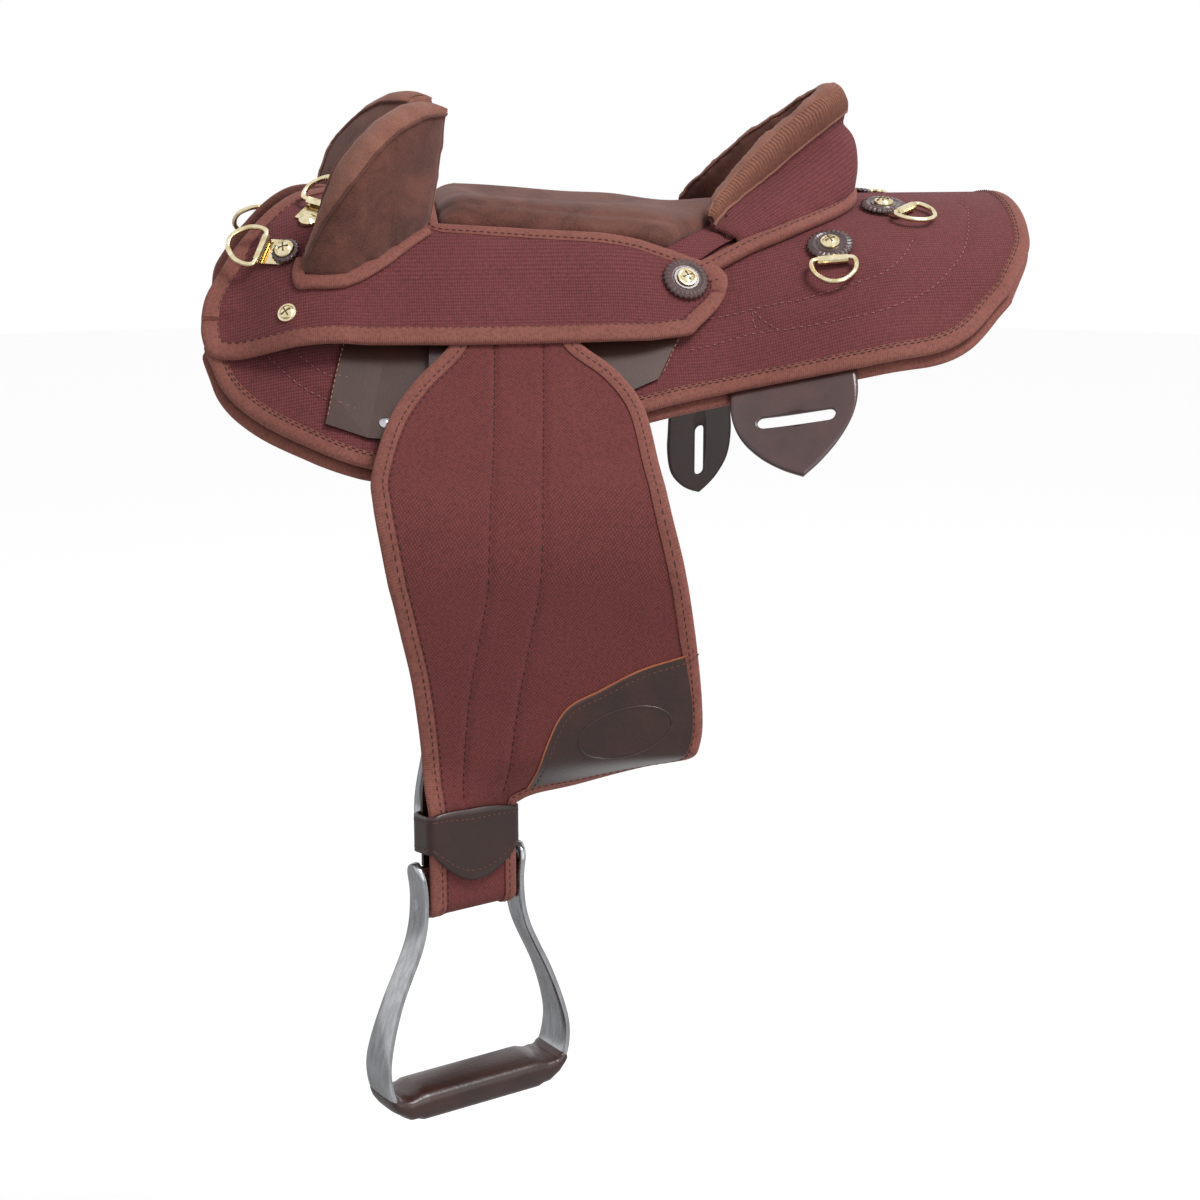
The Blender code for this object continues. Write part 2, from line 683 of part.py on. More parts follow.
def seat_height(x, s):
    """Top of the seat: a low middle, a rounded roll along each side and a stitched channel below it."""
    front = POMMEL_REAR + 0.001
    v = min(abs(s) / seat_seam(min(max(x, front), 0.062)), 1.0)
    roll = SEAT_ROLL * math.exp(-((v - 0.76) / 0.20) ** 2) * (1.0 - 0.55 * smooth(0.045, 0.110, x))
    edge = 1.0 - 0.62 * smooth(0.84, 1.0, v)
    channel = 0.003 * math.exp(-((v - 0.915) / 0.018) ** 2)
    start = smooth(front - 0.004, front + 0.020, x) * (1.0 - 0.45 * smooth(0.085, 0.128, x))
    base = clear_of(tree_top, x, s) + SOFT_GAP
    settle = 1.0 - 0.65 * smooth(-0.110, 0.020, x)
    return base + 0.0025 + (SEAT_PADDING + roll) * settle * start * edge - channel * start * 0.6


def make_seat():
    front = POMMEL_REAR + 0.001
    columns = 14
    lanes = [-v for v in SEAT_LANES[:0:-1]] + SEAT_LANES
    rear = np.array(SEAT_REAR_EDGE)
    rear_lane = np.linspace(0.0, 1.0, len(rear))
    grid = np.zeros((columns + 1, len(lanes), 2))
    for i in range(columns + 1):
        for j, v in enumerate(lanes):
            rear_x = np.interp(abs(v), rear_lane, rear[:, 0])
            rear_s = np.interp(abs(v), rear_lane, rear[:, 1])
            x = mix(front, rear_x, i / columns)
            s = mix(abs(v) * (seat_seam(front) - 0.0015), rear_s, i / columns)
            grid[i, j] = (x, math.copysign(min(s, seat_seam(x) - 0.0015), v))
    slab("seat", quads_of(grid), lambda x, s: on_form(x, s, clear_of(tree_top, x, s) + SOFT_GAP),
         lambda x, s: on_form(x, s, seat_height(x, s)), suede())


def cantle_ring(t):
    """Section of the cantle at t, from -1 (near horn) through 0 (the top) to 1 (far horn)."""
    side = -1.0 if t < 0 else 1.0
    across = abs(t)
    c = 1.0 - across ** 1.8
    foot_x = 0.084 + 0.050 * (1.0 - across ** 2)
    foot_s = side * 0.079 * across ** 0.8
    back_x = 0.102 + 0.122 * (1.0 - across ** 2.4)
    back_s = side * 0.103 * across ** 0.6
    ring = []
    for k in range(5):
        x = mix(foot_x, back_x, k / 4)
        s = mix(foot_s, back_s, k / 4)
        ring.append(on_form(x, s, tree_top(x, s) + SOFT_GAP + 0.0004))
    back = ring[-1].copy()
    foot = ring[0].copy()
    rim_x, rim_half, rim_z = (np.interp(across, *zip(*[(row[0], row[k]) for row in CANTLE_RIM_LINE]))
                              for k in (1, 2, 3))
    rim = Vector((rim_x, side * rim_half, rim_z))
    rim.z = max(rim.z, back.z + 0.010)
    outward = Vector((back.x - foot.x, back.y - foot.y, 0.0)).normalized()
    inner = rim - outward * CANTLE_RIM * (1.0 - 0.6 * across ** 3)
    scale = smooth(0.0, 0.060, rim.z - back.z)
    ring.append(mix(back, rim, 0.25) + outward * 0.005 * c)
    ring.append(mix(back, rim, 0.52) + outward * 0.006 * c)
    ring.append(rim - Vector((0, 0, CANTLE_BAND * scale)) - outward * 0.0008)
    ring.append(rim - Vector((0, 0, CANTLE_BAND * 0.55 * scale)) + outward * 0.0034)
    ring.append(rim - Vector((0, 0, CANTLE_BAND * 0.18 * scale)) + outward * 0.0026)
    ring.append(rim + outward * 0.0006)
    ring.append(mix(rim, inner, 0.5) + Vector((0, 0, 0.0055 * scale)))
    ring.append(inner - Vector((0, 0, 0.001)))
    ring.append(inner + outward * 0.0035 - Vector((0, 0, 0.007 * scale)))
    ring.append(mix(inner, foot, 0.30) - Vector((0, 0, 0.012 * c)) + outward * 0.003)
    ring.append(mix(inner, foot, 0.58) - Vector((0, 0, 0.016 * c)) + outward * 0.003)
    ring.append(mix(inner, foot, 0.82) - Vector((0, 0, 0.011 * c)) + outward * 0.002)
    return ring


def make_cantle():
    count = 18
    stations = [mix(-0.95, 0.95, k / count) for k in range(count + 1)]
    loft("cantle_cover", [cantle_ring(t) for t in stations], suede(), smooth_angle=50.0)


def pad_station(t, side):
    """Section of a knee pad at t from 0 (front lower end) to 1 (rear edge)."""
    base_x = mix(-0.237, -0.134, t)
    base_s = float(np.interp(t, [0.0, 0.10, 0.30, 0.65, 1.0], [0.122, 0.127, 0.128, 0.111, 0.087]))
    top_z = float(np.interp(t, [0.0, 0.12, 0.28, 0.45, 0.62, 0.80, 1.0],
                            [-0.006, 0.028, 0.058, 0.082, 0.098, 0.108, PAD_HEIGHT]))
    thick = mix(PAD_EDGE, PAD_THICKNESS, smooth(0.0, 0.6, t))
    ease = SOFT_GAP + PAD_EASE * (2.0 - smooth(0.0, 0.3, t))

    lead = PAD_TURN * smooth(0.05, 0.40, t)

    def foot(u):
        x = base_x - 0.5 * lead * u
        s = base_s - thick * u
        return on_form(x, s, clear_of(jockey_top, x, s) + ease)

    outer, middle, inner = foot(0.0), foot(0.5), foot(1.0)
    top_z = max(top_z, inner.z + 0.010)
    height = top_z - outer.z
    lean = PAD_LEAN * height / PAD_HEIGHT
    top_x = base_x + 0.004 + 0.007 * t + 0.35 * lead * (1.0 - 0.5 * t)
    inner_x = top_x - lead
    crown_y = outer.y + lean - 0.004
    mid_outer_y = mix(outer.y, crown_y, 0.4) - 0.007 * smooth(0.1, 0.6, t)
    mid_inner_y = mix(inner.y, crown_y - PAD_EDGE, 0.5) - 0.005
    ring = [inner, middle, outer]
    ring.append(Vector((base_x, outer.y - 0.0015, outer.z + 0.10 * height)))
    ring.append(Vector((mix(base_x, top_x, 0.45), mid_outer_y, outer.z + 0.48 * height)))
    ring.append(Vector((top_x, crown_y - 0.0022, top_z - 0.010)))
    ring.append(Vector((top_x, crown_y, top_z - 0.004)))
    ring.append(Vector(((top_x + inner_x) / 2, crown_y - PAD_EDGE / 2, top_z)))
    ring.append(Vector((inner_x, crown_y - PAD_EDGE, top_z - 0.004)))
    ring.append(Vector((inner_x, crown_y - PAD_EDGE + 0.0020, top_z - 0.009)))
    ring.append(Vector((mix(inner.x, inner_x, 0.5), mid_inner_y, mix(inner.z, top_z, 0.5))))
    return [Vector((p.x, side * p.y, p.z)) for p in ring]


def make_knee_pads():
    count = 12
    for name, side in SIDES.items():
        rings = [pad_station(k / count, side) for k in range(count + 1)]
        loft(name + "_knee_pad", rings, suede(), smooth_angle=55.0)


# Fender, stirrup leather and hobble

LOOP_RADIUS = STIRRUP_BAR_RADIUS + LAYER_GAP + FENDER_THICKNESS / 2
STRAP_MIDDLE = (STRAP_LOW + STRAP_TOP) / 2
FENDER_MIDDLE = (FENDER_LOW + FENDER_TOP) / 2
STRAP_BEND_S = FENDER_BEND_S - (2 * LOOP_RADIUS - (FENDER_MIDDLE - STRAP_MIDDLE) * math.sin(FLANK_ANGLE)) \
    / math.cos(FLANK_ANGLE)


def fender_plane_y():
    return on_drop(0.0, FENDER_BEND_S + BEND_LENGTH, FENDER_MIDDLE, FAR, FENDER_BEND_S).y


NECK_TOP_Z = STIRRUP_BAR_Z + HOBBLE_TOP + 0.004


def twisted(point, name, side):
    """Turn the neck about its own upright line, so that the stirrup faces outward."""
    turn = STIRRUP_YAW[name] * (1.0 - smooth(NECK_TOP_Z, NECK_TOP_Z + TWIST_LENGTH[name], point.z))
    centre = Vector((NECK_X[name], side * fender_plane_y(), 0.0))
    return Matrix.Rotation(-side * turn, 4, "Z") @ (point - centre) + centre


def neck_frame(name, side):
    """Axes at the stirrup bar: X along the bar, Y toward the horse, Z up."""
    centre = Vector((NECK_X[name], side * fender_plane_y(), STIRRUP_BAR_Z))
    turn = Matrix.Rotation(-side * STIRRUP_YAW[name], 4, "Z")
    along = turn @ Vector((1.0, 0.0, 0.0))
    inward = turn @ Vector((0.0, -side, 0.0))
    made = Matrix.Identity(4)
    made.col[0][:3] = along
    made.col[1][:3] = inward
    made.col[2][:3] = Vector((0.0, 0.0, 1.0))
    made.col[3][:3] = centre + inward * LOOP_RADIUS
    return made


def fender_edges(name, rows):
    """Left and right edges of the fender in (x, t), from under the jockey to the neck."""
    drop = FENDER_LENGTH / 0.383
    start = FENDER_TOP_S

    def down(t):
        return start + (t - start) * drop

    half = NECK_WIDTH / 2
    neck = NECK_X[name]
    shift = (neck - NECK_X["left"]) * 0.5
    front = [(-0.120, start), (-0.122, down(0.176)), (-0.152, down(0.210)), (-0.173, down(0.243)),
             (-0.187, down(0.288)), (-0.187, down(0.311)), (-0.181, down(0.340)), (-0.175, down(0.364)),
             (-0.169, down(0.392)), (-0.161 + shift, down(0.432)), (neck - half, down(0.488)),
             (neck - half, down(0.532))]
    rear = [(-0.029, start), (-0.025, down(0.176)), (0.003, down(0.203)), (0.022, down(0.236)),
            (0.030, down(0.288)), (0.036, down(0.320)), (0.045, down(0.350)), (0.049, down(0.370)),
            (0.055, down(0.413)), (0.059, down(0.456)), (0.058, down(0.483)), (0.048, down(0.506)),
            (0.025, down(0.520)), (-0.020, down(0.5265)), (-0.062 + shift, down(0.5275)),
            (neck + half, down(0.532))]
    return curve_through(front, rows), curve_through(rear, rows)


def make_fender(name, side):
    rows = 22
    columns = 5
    left, right = fender_edges(name, rows)
    rings = []

    for k in range(rows + 1):
        low = []
        high = []
        for j in range(columns + 1):
            x, t = mix(left[k], right[k], j / columns)
            low.append(twisted(on_drop(x, t, FENDER_LOW, side, FENDER_BEND_S), name, side))
            high.append(twisted(on_drop(x, t, FENDER_TOP, side, FENDER_BEND_S), name, side))
        rings.append(low + high[::-1])
    half = NECK_WIDTH / 2
    neck = neck_frame(name, side)
    start_z = on_drop(0.0, left[-1][1], FENDER_MIDDLE, FAR, FENDER_BEND_S).z
    for z in np.linspace(start_z, STIRRUP_BAR_Z, 5)[1:]:
        low = []
        high = []
        for j in range(columns + 1):
            x = NECK_X[name] + mix(-half, half, j / columns)
            y = fender_plane_y()
            low.append(twisted(Vector((x, side * (y - FENDER_THICKNESS / 2), z)), name, side))
            high.append(twisted(Vector((x, side * (y + FENDER_THICKNESS / 2), z)), name, side))
        rings.append(low + high[::-1])
    inner = LOOP_RADIUS - FENDER_THICKNESS / 2
    outer = LOOP_RADIUS + FENDER_THICKNESS / 2
    for k in range(1, 8):
        a = math.pi * k / 8
        rings.append(loop_section(neck, half, columns, inner, outer, a, 0.0))
    for rise in (0.0, RETURN_LENGTH / 2, RETURN_LENGTH):
        rings.append(loop_section(neck, half, columns, inner, outer, math.pi, rise))
    return loft(name + "_fender", rings, cordura(), smooth_angle=50.0)


def loop_section(frame, half, columns, inner, outer, a, rise):
    """One section of a band round the stirrup bar; a runs from 0 (outside) to 180 degrees (inside)."""
    low = []
    high = []
    for j in range(columns + 1):
        u = mix(-half, half, j / columns)
        for radius, row in ((inner, low), (outer, high)):
            row.append(frame @ Vector((u, -radius * math.cos(a), rise - radius * math.sin(a))))
    return low + high[::-1]


def make_stirrup_leather(name, side):
    columns = 4
    rings = []
    start_z = STIRRUP_BAR_Z + RETURN_LENGTH + 2 * LAYER_GAP
    straight = on_drop(0.0, STRAP_BEND_S + BEND_LENGTH, STRAP_MIDDLE, FAR, STRAP_BEND_S)
    end_t = STRAP_BEND_S + BEND_LENGTH + straight.z - start_z
    hook_half = STRAP_END_HALF_WIDTH
    half = STRAP_WIDTH / 2

    def section(half_width, centre, t, low_height, high_height):
        low = []
        high = []
        for j in range(columns + 1):
            x = centre + mix(-half_width, half_width, j / columns)
            low.append(twisted(on_drop(x, t, low_height, side, STRAP_BEND_S), name, side))
            high.append(twisted(on_drop(x, t, high_height, side, STRAP_BEND_S), name, side))
        return low + high[::-1]

    rings.append(section(hook_half, HANG_X, STRAP_END_S, STRAP_LOW - HOOK_DEPTH, STRAP_TOP))
    rings.append(section(hook_half, HANG_X, STRAP_END_S + STRAP_THICKNESS, STRAP_LOW - HOOK_DEPTH, STRAP_TOP))
    rings.append(section(hook_half + 0.001, HANG_X, STRAP_END_S + STRAP_THICKNESS + 0.0004,
                         STRAP_LOW, STRAP_TOP))
    rings.append(section(half * 0.72, HANG_X, STRAP_END_S + 0.008, STRAP_LOW, STRAP_TOP))
    rings.append(section(half, HANG_X, STRAP_END_S + 0.022, STRAP_LOW, STRAP_TOP))
    stops = [0.150, 0.200, STRAP_BEND_S - 0.004]
    stops += [STRAP_BEND_S + BEND_LENGTH * k / 4 for k in range(5)]
    level = STRAP_BEND_S + BEND_LENGTH + straight.z
    twist_top = level - NECK_TOP_Z - TWIST_LENGTH[name]
    twist_end = level - NECK_TOP_Z
    stops += list(np.linspace(STRAP_BEND_S + BEND_LENGTH, twist_top, 3)[1:])
    stops += list(np.linspace(twist_top, twist_end, 7)[1:]) + [end_t]
    for t in stops:
        centre = mix(HANG_X, NECK_X[name], smooth(0.14, STRAP_BEND_S + BEND_LENGTH, t))
        rings.append(section(half, centre, t, STRAP_LOW, STRAP_TOP))
    return loft(name + "_stirrup_leather", rings, dark_leather(), smooth_angle=50.0)


def strap_face_y():
    """Half-space coordinate of the strap's inner face in its straight part."""
    return on_drop(0.0, STRAP_BEND_S + BEND_LENGTH, STRAP_LOW, FAR, STRAP_BEND_S).y


def box_points(centre, size):
    x, y, z = (v / 2 for v in size)
    around = ((-1, -1), (1, -1), (1, 1), (-1, 1))
    return [Vector(centre) + Vector((a * x, b * y, c * z)) for c in (-1, 1) for a, b in around]


def plain_box(name, centre, size, finish_material, bevel=0.0):
    mesh = bmesh.new()
    v = [mesh.verts.new(p) for p in box_points(centre, size)]
    for face in ((3, 2, 1, 0), (4, 5, 6, 7), (0, 1, 5, 4), (1, 2, 6, 5), (2, 3, 7, 6), (3, 0, 4, 7)):
        mesh.faces.new([v[k] for k in face])
    if bevel:
        upright = [e for e in mesh.edges]
        bmesh.ops.bevel(mesh, geom=upright, offset=bevel, segments=1, profile=0.5, affect="EDGES")
    return finish(name, mesh, finish_material)


def band(name, frame, half_x, y_low, y_high, z_low, z_high, wall, finish_material, corner):
    """A closed band round a flat strap: a rounded rectangle ring, raised from z_low to z_high."""
    def outline(grow):
        points = []
        radius = corner + grow
        centres = ((half_x - corner, y_high - corner), (-half_x + corner, y_high - corner),
                   (-half_x + corner, y_low + corner), (half_x - corner, y_low + corner))
        for k, (cx, cy) in enumerate(centres):
            for n in range(3):
                a = math.pi / 2 * (k + n / 2)
                points.append((cx + radius * math.cos(a), cy + radius * math.sin(a)))
        return points

    inner = outline(0.0)
    outer = outline(wall)
    rings = []
    for (ix, iy), (ox, oy) in zip(inner, outer):
        corners = ((ix, iy, z_low), (ox, oy, z_low), (ox, oy, z_high), (ix, iy, z_high))
        rings.append([frame @ Vector(p) for p in corners])
    return loft(name, rings, finish_material, closed_path=True)


def make_buckle(name, side):
    """A pinned plate on the strap's inner face, and the sleeve that locks it."""
    half = STRAP_WIDTH / 2
    face_y = strap_face_y()
    centre_y = side * (face_y - LAYER_GAP - BUCKLE_THICKNESS / 2)
    plain_box(name + "_buckle_plate", (NECK_X[name], centre_y, BUCKLE_Z[name]),
              (STRAP_WIDTH * 0.86, BUCKLE_THICKNESS, BUCKLE_LENGTH),
              steel(), bevel=0.0006)
    frame = Matrix.Translation((NECK_X[name], side * (face_y + STRAP_THICKNESS / 2),
                                BUCKLE_Z[name] - BUCKLE_LENGTH / 2))
    frame = frame @ Matrix.Scale(-side, 4, (0.0, 1.0, 0.0))
    y_high = STRAP_THICKNESS / 2 + LAYER_GAP + BUCKLE_THICKNESS + FIT_GAP
    y_low = -STRAP_THICKNESS / 2 - FIT_GAP
    z_low = FIT_GAP
    return band(name + "_buckle_sleeve", frame, half + FIT_GAP, y_low, y_high, z_low, z_low + SLEEVE_LENGTH,
                SLEEVE_THICKNESS, steel(), 0.0012)


def make_hobble(name, side):
    frame = neck_frame(name, side)
    half = NECK_WIDTH / 2 + LAYER_GAP
    depth = LOOP_RADIUS + FENDER_THICKNESS / 2 + LAYER_GAP
    z_high = HOBBLE_TOP
    z_low = HOBBLE_TOP - HOBBLE_HEIGHT
    return band(name + "_hobble_strap", frame, half, -depth, depth, z_low, z_high, HOBBLE_THICKNESS,
                dark_leather(), 0.001)


# Stirrup

def stirrup_half_path():
    top = ARM_TOP_HALF_WIDTH - ARM_THICKNESS / 2
    wide = STIRRUP_HALF_WIDTH
    drop = TREAD_DROP
    points = [(top + 0.0045, EAR_TOP), (top + 0.001, 0.004), (top + 0.006, -0.030),
              (mix(top, wide, 0.66), -0.075), (wide * 0.975, -0.110), (wide, -0.132),
              (wide * 0.93, drop * -0.955), (TREAD_HALF_LENGTH, -drop)]
    return curve_through(points, 15)


def make_stirrup(name, side):
    frame = neck_frame(name, side)
    half_path = [tuple(p) for p in stirrup_half_path()]
    path = half_path + [(0.0, -TREAD_DROP)] + [(-u, z) for u, z in reversed(half_path)]
    rings = []
    for k, (u, z) in enumerate(path):
        before = path[max(k - 1, 0)]
        after = path[min(k + 1, len(path) - 1)]
        along = Vector((after[0] - before[0], after[1] - before[1])).normalized()
        across = Vector((-along.y, along.x)) * ARM_THICKNESS / 2
        depth = mix(ARM_DEPTH, TREAD_DEPTH * 0.86, smooth(0.05, TREAD_DROP, -z)) / 2
        if z > 0.0:
            depth *= mix(1.0, 0.72, min(z / EAR_TOP, 1.0))
        rings.append([frame @ Vector((u + sx * across.x, sy * depth, z + sx * across.y))
                      for sx, sy in ((-1, -1), (1, -1), (1, 1), (-1, 1))])
    body = loft(name + "_stirrup_frame", rings, aluminium(), smooth_angle=35.0)

    reach = ARM_TOP_HALF_WIDTH - ARM_THICKNESS / 2
    ends = [frame @ Vector((u, 0.0, 0.0)) for u in (-reach, reach)]
    axis_y = frame.to_3x3() @ Vector((0.0, 1.0, 0.0))
    axis_z = Vector((0.0, 0.0, 1.0))
    bar_rings = []
    for end in ends:
        bar_rings.append([end + STIRRUP_BAR_RADIUS * (math.cos(a) * axis_y + math.sin(a) * axis_z)
                          for a in (2 * math.pi * n / 12 for n in range(12))])
    bar = loft(name + "_stirrup_bar", bar_rings, aluminium())
    bar.hide_render = True
    bar.display_type = "WIRE"
    joined = body.modifiers.new("bar", "BOOLEAN")
    joined.operation = "UNION"
    joined.solver = "EXACT"
    joined.object = bar

    inner_depth = TREAD_DEPTH * 0.86 / 2 + FIT_GAP
    inner_height = ARM_THICKNESS / 2 + FIT_GAP
    rings = []
    lips = [(-1.0, 0.80), (-0.86, 1.0), (0.0, 1.0), (0.86, 1.0), (1.0, 0.80)]
    for part, scale in lips:
        u = part * (TREAD_HALF_LENGTH - 0.002)
        outer = (TREAD_DEPTH / 2 * mix(1.0, scale, 0.4), TREAD_THICKNESS / 2 * scale)
        corner = 0.006
        section = []
        for sy, sz in ((1, 1), (-1, 1), (-1, -1), (1, -1)):
            first = (sy * outer[0], sz * (outer[1] - corner))
            second = (sy * (outer[0] - corner), sz * outer[1])
            section += [first, second] if sy * sz > 0 else [second, first]
        rings.append([Vector((u, y, z - TREAD_DROP)) for y, z in section])
    cover_mesh = bmesh.new()
    outer_rings = [[cover_mesh.verts.new(frame @ p) for p in ring] for ring in rings]
    inner_section = [(inner_depth, inner_height), (-inner_depth, inner_height), (-inner_depth, -inner_height),
                     (inner_depth, -inner_height)]
    ends_u = [rings[0][0].x, rings[-1][0].x]
    inner_rings = [[cover_mesh.verts.new(frame @ Vector((u, y, z - TREAD_DROP))) for y, z in inner_section]
                   for u in ends_u]
    for a, b in zip(outer_rings, outer_rings[1:]):
        for k in range(8):
            cover_mesh.faces.new([a[k], a[(k + 1) % 8], b[(k + 1) % 8], b[k]])
    for k in range(4):
        n = (k + 1) % 4
        cover_mesh.faces.new([inner_rings[0][k], inner_rings[1][k], inner_rings[1][n], inner_rings[0][n]])
    for outer, inner in ((outer_rings[0], inner_rings[0]), (outer_rings[-1], inner_rings[-1])):
        for k in range(4):
            cover_mesh.faces.new([outer[2 * k], outer[2 * k + 1], inner[k]])
            cover_mesh.faces.new([outer[2 * k + 1], outer[(2 * k + 2) % 8], inner[(k + 1) % 4], inner[k]])
    finish(name + "_tread_cover", cover_mesh, dark_leather())
    return body


# Fittings

def turned(name, frame, profile, segments, finish_material, smooth_angle=40.0):
    """A solid of revolution about the frame's Z axis; the profile starts and ends off the axis or on it."""
    mesh = bmesh.new()
    rings = []
    for radius, z in profile:
        if radius < 1e-7:
            rings.append([mesh.verts.new(frame @ Vector((0.0, 0.0, z)))])
        else:
            rings.append([mesh.verts.new(frame @ Vector((radius * math.cos(a), radius * math.sin(a), z)))
                          for a in (2 * math.pi * n / segments for n in range(segments))])
    closed = len(rings[0]) > 1 and len(rings[-1]) > 1
    pairs = list(zip(rings, rings[1:])) + ([(rings[-1], rings[0])] if closed else [])
    for a, b in pairs:
        for k in range(segments):
            ring = [a[k % len(a)], a[(k + 1) % len(a)], b[(k + 1) % len(b)], b[k % len(b)]]
            unique = []
            for vertex in ring:
                if vertex not in unique:
                    unique.append(vertex)
            if len(unique) > 2:
                mesh.faces.new(unique)
    return finish(name, mesh, finish_material, smooth_angle)


def make_rosette(name, frame, radius, base):
    inner = SHANK_RADIUS + FIT_GAP
    top = base + ROSETTE_THICKNESS
    turned(name, frame, [(inner, base), (radius, base), (radius, top), (inner, top)], 20, dark_leather())
    return top


def make_screw(name, frame, base, shank):
    foot = [(0.0, base)]
    if shank:
        foot = [(0.0, base - shank), (SHANK_RADIUS, base - shank), (SHANK_RADIUS, base)]
    profile = foot + [(SCREW_RADIUS, base), (SCREW_RADIUS * 0.92, base + SCREW_HEIGHT * 0.6),
                      (SCREW_RADIUS * 0.5, base + SCREW_HEIGHT), (0.0, base + SCREW_HEIGHT)]
    turned(name, frame, profile, 12, brass())


def make_ring_set(prefix, x, s, height, pointing, rosette_radius, tilt_angle):
    """A clip under a rosette and a screw, holding a dee ring that turns in the clip's curl."""
    frame = surface_frame(x, s, height, pointing)
    plate_low = FIT_GAP
    plate_top = plate_low + CLIP_THICKNESS
    curl_inner = RING_WIRE_RADIUS + FIT_GAP
    curl_outer = curl_inner + CLIP_THICKNESS
    axis_x = CLIP_REACH
    axis_z = plate_low + curl_outer
    section = [(0.0, plate_top), (0.0, plate_low), (axis_x, plate_low)]
    steps = 8
    for k in range(1, steps + 1):
        a = -math.pi / 2 + math.radians(250.0) * k / steps
        section.append((axis_x + curl_outer * math.cos(a), axis_z + curl_outer * math.sin(a)))
    for k in range(steps, -1, -1):
        a = -math.pi / 2 + math.radians(250.0) * k / steps
        section.append((axis_x + curl_inner * math.cos(a), axis_z + curl_inner * math.sin(a)))
    half = CLIP_WIDTH / 2
    rings = [[frame @ Vector((px, y, pz)) for px, pz in section] for y in (-half, half)]
    loft(prefix + "_clip", rings, brass(), smooth_angle=50.0)

    if rosette_radius:
        base = make_rosette(prefix + "_rosette", frame, rosette_radius, plate_top + FIT_GAP)
        make_screw(prefix + "_screw", frame, base + FIT_GAP, ROSETTE_THICKNESS * 0.8)

    width = RING_WIDTH / 2
    path = [(0.0, -width * 0.62), (0.0, width * 0.62)]
    corner = curve_through([(0.0, width * 0.62), (RING_DEPTH * 0.06, width * 0.92),
                            (RING_DEPTH * 0.30, width),
                            (RING_DEPTH * 0.62, width * 0.86), (RING_DEPTH * 0.92, width * 0.42),
                            (RING_DEPTH, 0.0)], 8)
    path += [tuple(p) for p in corner[1:]]
    path += [(a, -b) for a, b in reversed([tuple(p) for p in corner[1:-1]])]
    tilt = Matrix.Translation((axis_x, 0.0, axis_z)) @ Matrix.Rotation(tilt_angle, 4, "Y")
    points = [frame @ tilt @ Vector((a, b, 0.0)) for a, b in path]
    ring = tube(prefix + "_ring", points, RING_WIRE_RADIUS, 6, brass(), closed_path=True)
    set_origin(ring, frame @ Vector((axis_x, 0.0, axis_z)))
    return ring


RING_SETS = {
    "front_dee": (-0.247, 0.0975, jockey_top, math.radians(211.0), FRONT_ROSETTE_RADIUS,
                  FRONT_RING_TILT),
    "rear_lower_dee": (0.187, 0.110, lambda x, s: SKIRT_TOP, math.radians(100.0), ROSETTE_RADIUS, RING_TILT),
    "rear_upper_dee": (0.243, 0.057, lambda x, s: SKIRT_TOP, math.radians(47.0), ROSETTE_RADIUS, RING_TILT),
}


def make_fittings():
    for side_name, side in SIDES.items():
        for set_name, (x, s, *rest) in RING_SETS.items():
            make_ring_set(side_name + "_" + set_name, x, side * s, *rest)
        frame = surface_frame(-0.248, side * 0.146, jockey_top, 0.0)
        make_screw(side_name + "_jockey_front_screw", frame, FRONT_SCREW_BASE, 0.0)
        frame = surface_frame(0.066, side * 0.122, jockey_top, 0.0)
        top = make_rosette(side_name + "_jockey_rear_rosette", frame, ROSETTE_RADIUS, 0.0015)
        make_screw(side_name + "_jockey_rear_screw", frame, top + FIT_GAP, ROSETTE_THICKNESS * 0.8)


def make_pommel_ring():
    """A second ring high on the near side of the pommel; its clip is riveted down by a domed stud."""
    place = (-0.230, NEAR * 0.076, jockey_top, math.radians(-50.0))
    make_ring_set("left_pommel_dee", *place, None, POMMEL_RING_TILT)
    frame = surface_frame(*place)
    clip = bpy.data.objects["left_pommel_dee_clip"]
    base = FIT_GAP + CLIP_THICKNESS * 0.5
    profile = [(0.0, base), (SCREW_RADIUS * 0.9, base), (SCREW_RADIUS * 0.9, base + 0.0022),
               (SCREW_RADIUS * 0.5, base + 0.0042), (0.0, base + 0.0046)]
    stud = turned("left_pommel_dee_stud", frame, profile, 14, brass())
    stud.hide_render = True
    stud.display_type = "WIRE"
    joined = clip.modifiers.new("stud", "BOOLEAN")
    joined.operation = "UNION"
    joined.solver = "EXACT"
    joined.object = stud


def hang_pivot(name, side):
    """Swing centre: under it hang the strap, the fender and the stirrup in balance."""
    return on_drop(SWING_X[name], HANG_S, STRAP_LOW, side, STRAP_BEND_S)


def make_hanging_pieces():
    for name, side in SIDES.items():
        pivot = hang_pivot(name, side)
        for piece in (make_fender(name, side), make_stirrup_leather(name, side)):
            set_origin(piece, pivot)
        make_buckle(name, side)
        make_hobble(name, side)
        set_origin(make_stirrup(name, side), neck_frame(name, side).translation)


def main():
    for old in list(bpy.data.objects):
        bpy.data.objects.remove(old, do_unlink=True)
    make_skirts()
    make_rigging_plates()
    make_rear_flaps()
    make_tree()
    make_jockey()
    make_seat()
    make_cantle()
    make_knee_pads()
    make_hanging_pieces()
    make_fittings()
    make_pommel_ring()


main()
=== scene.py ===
# %% [markdown]
# # A half breed saddle
# This kind of saddle has a light moulded tree with cloth skirts, a suede seat and knee pads, and
# fenders with stirrups as on a stock saddle. This lesson dresses its plain solid model: each step
# says what a piece is on the real saddle, how it could be made, and why this way was chosen.

# %% Load the frame
import math

import bmesh
import bpy
import numpy as np
from mathutils import Matrix, Vector
from mathutils.bvhtree import BVHTree
from mathutils.kdtree import KDTree


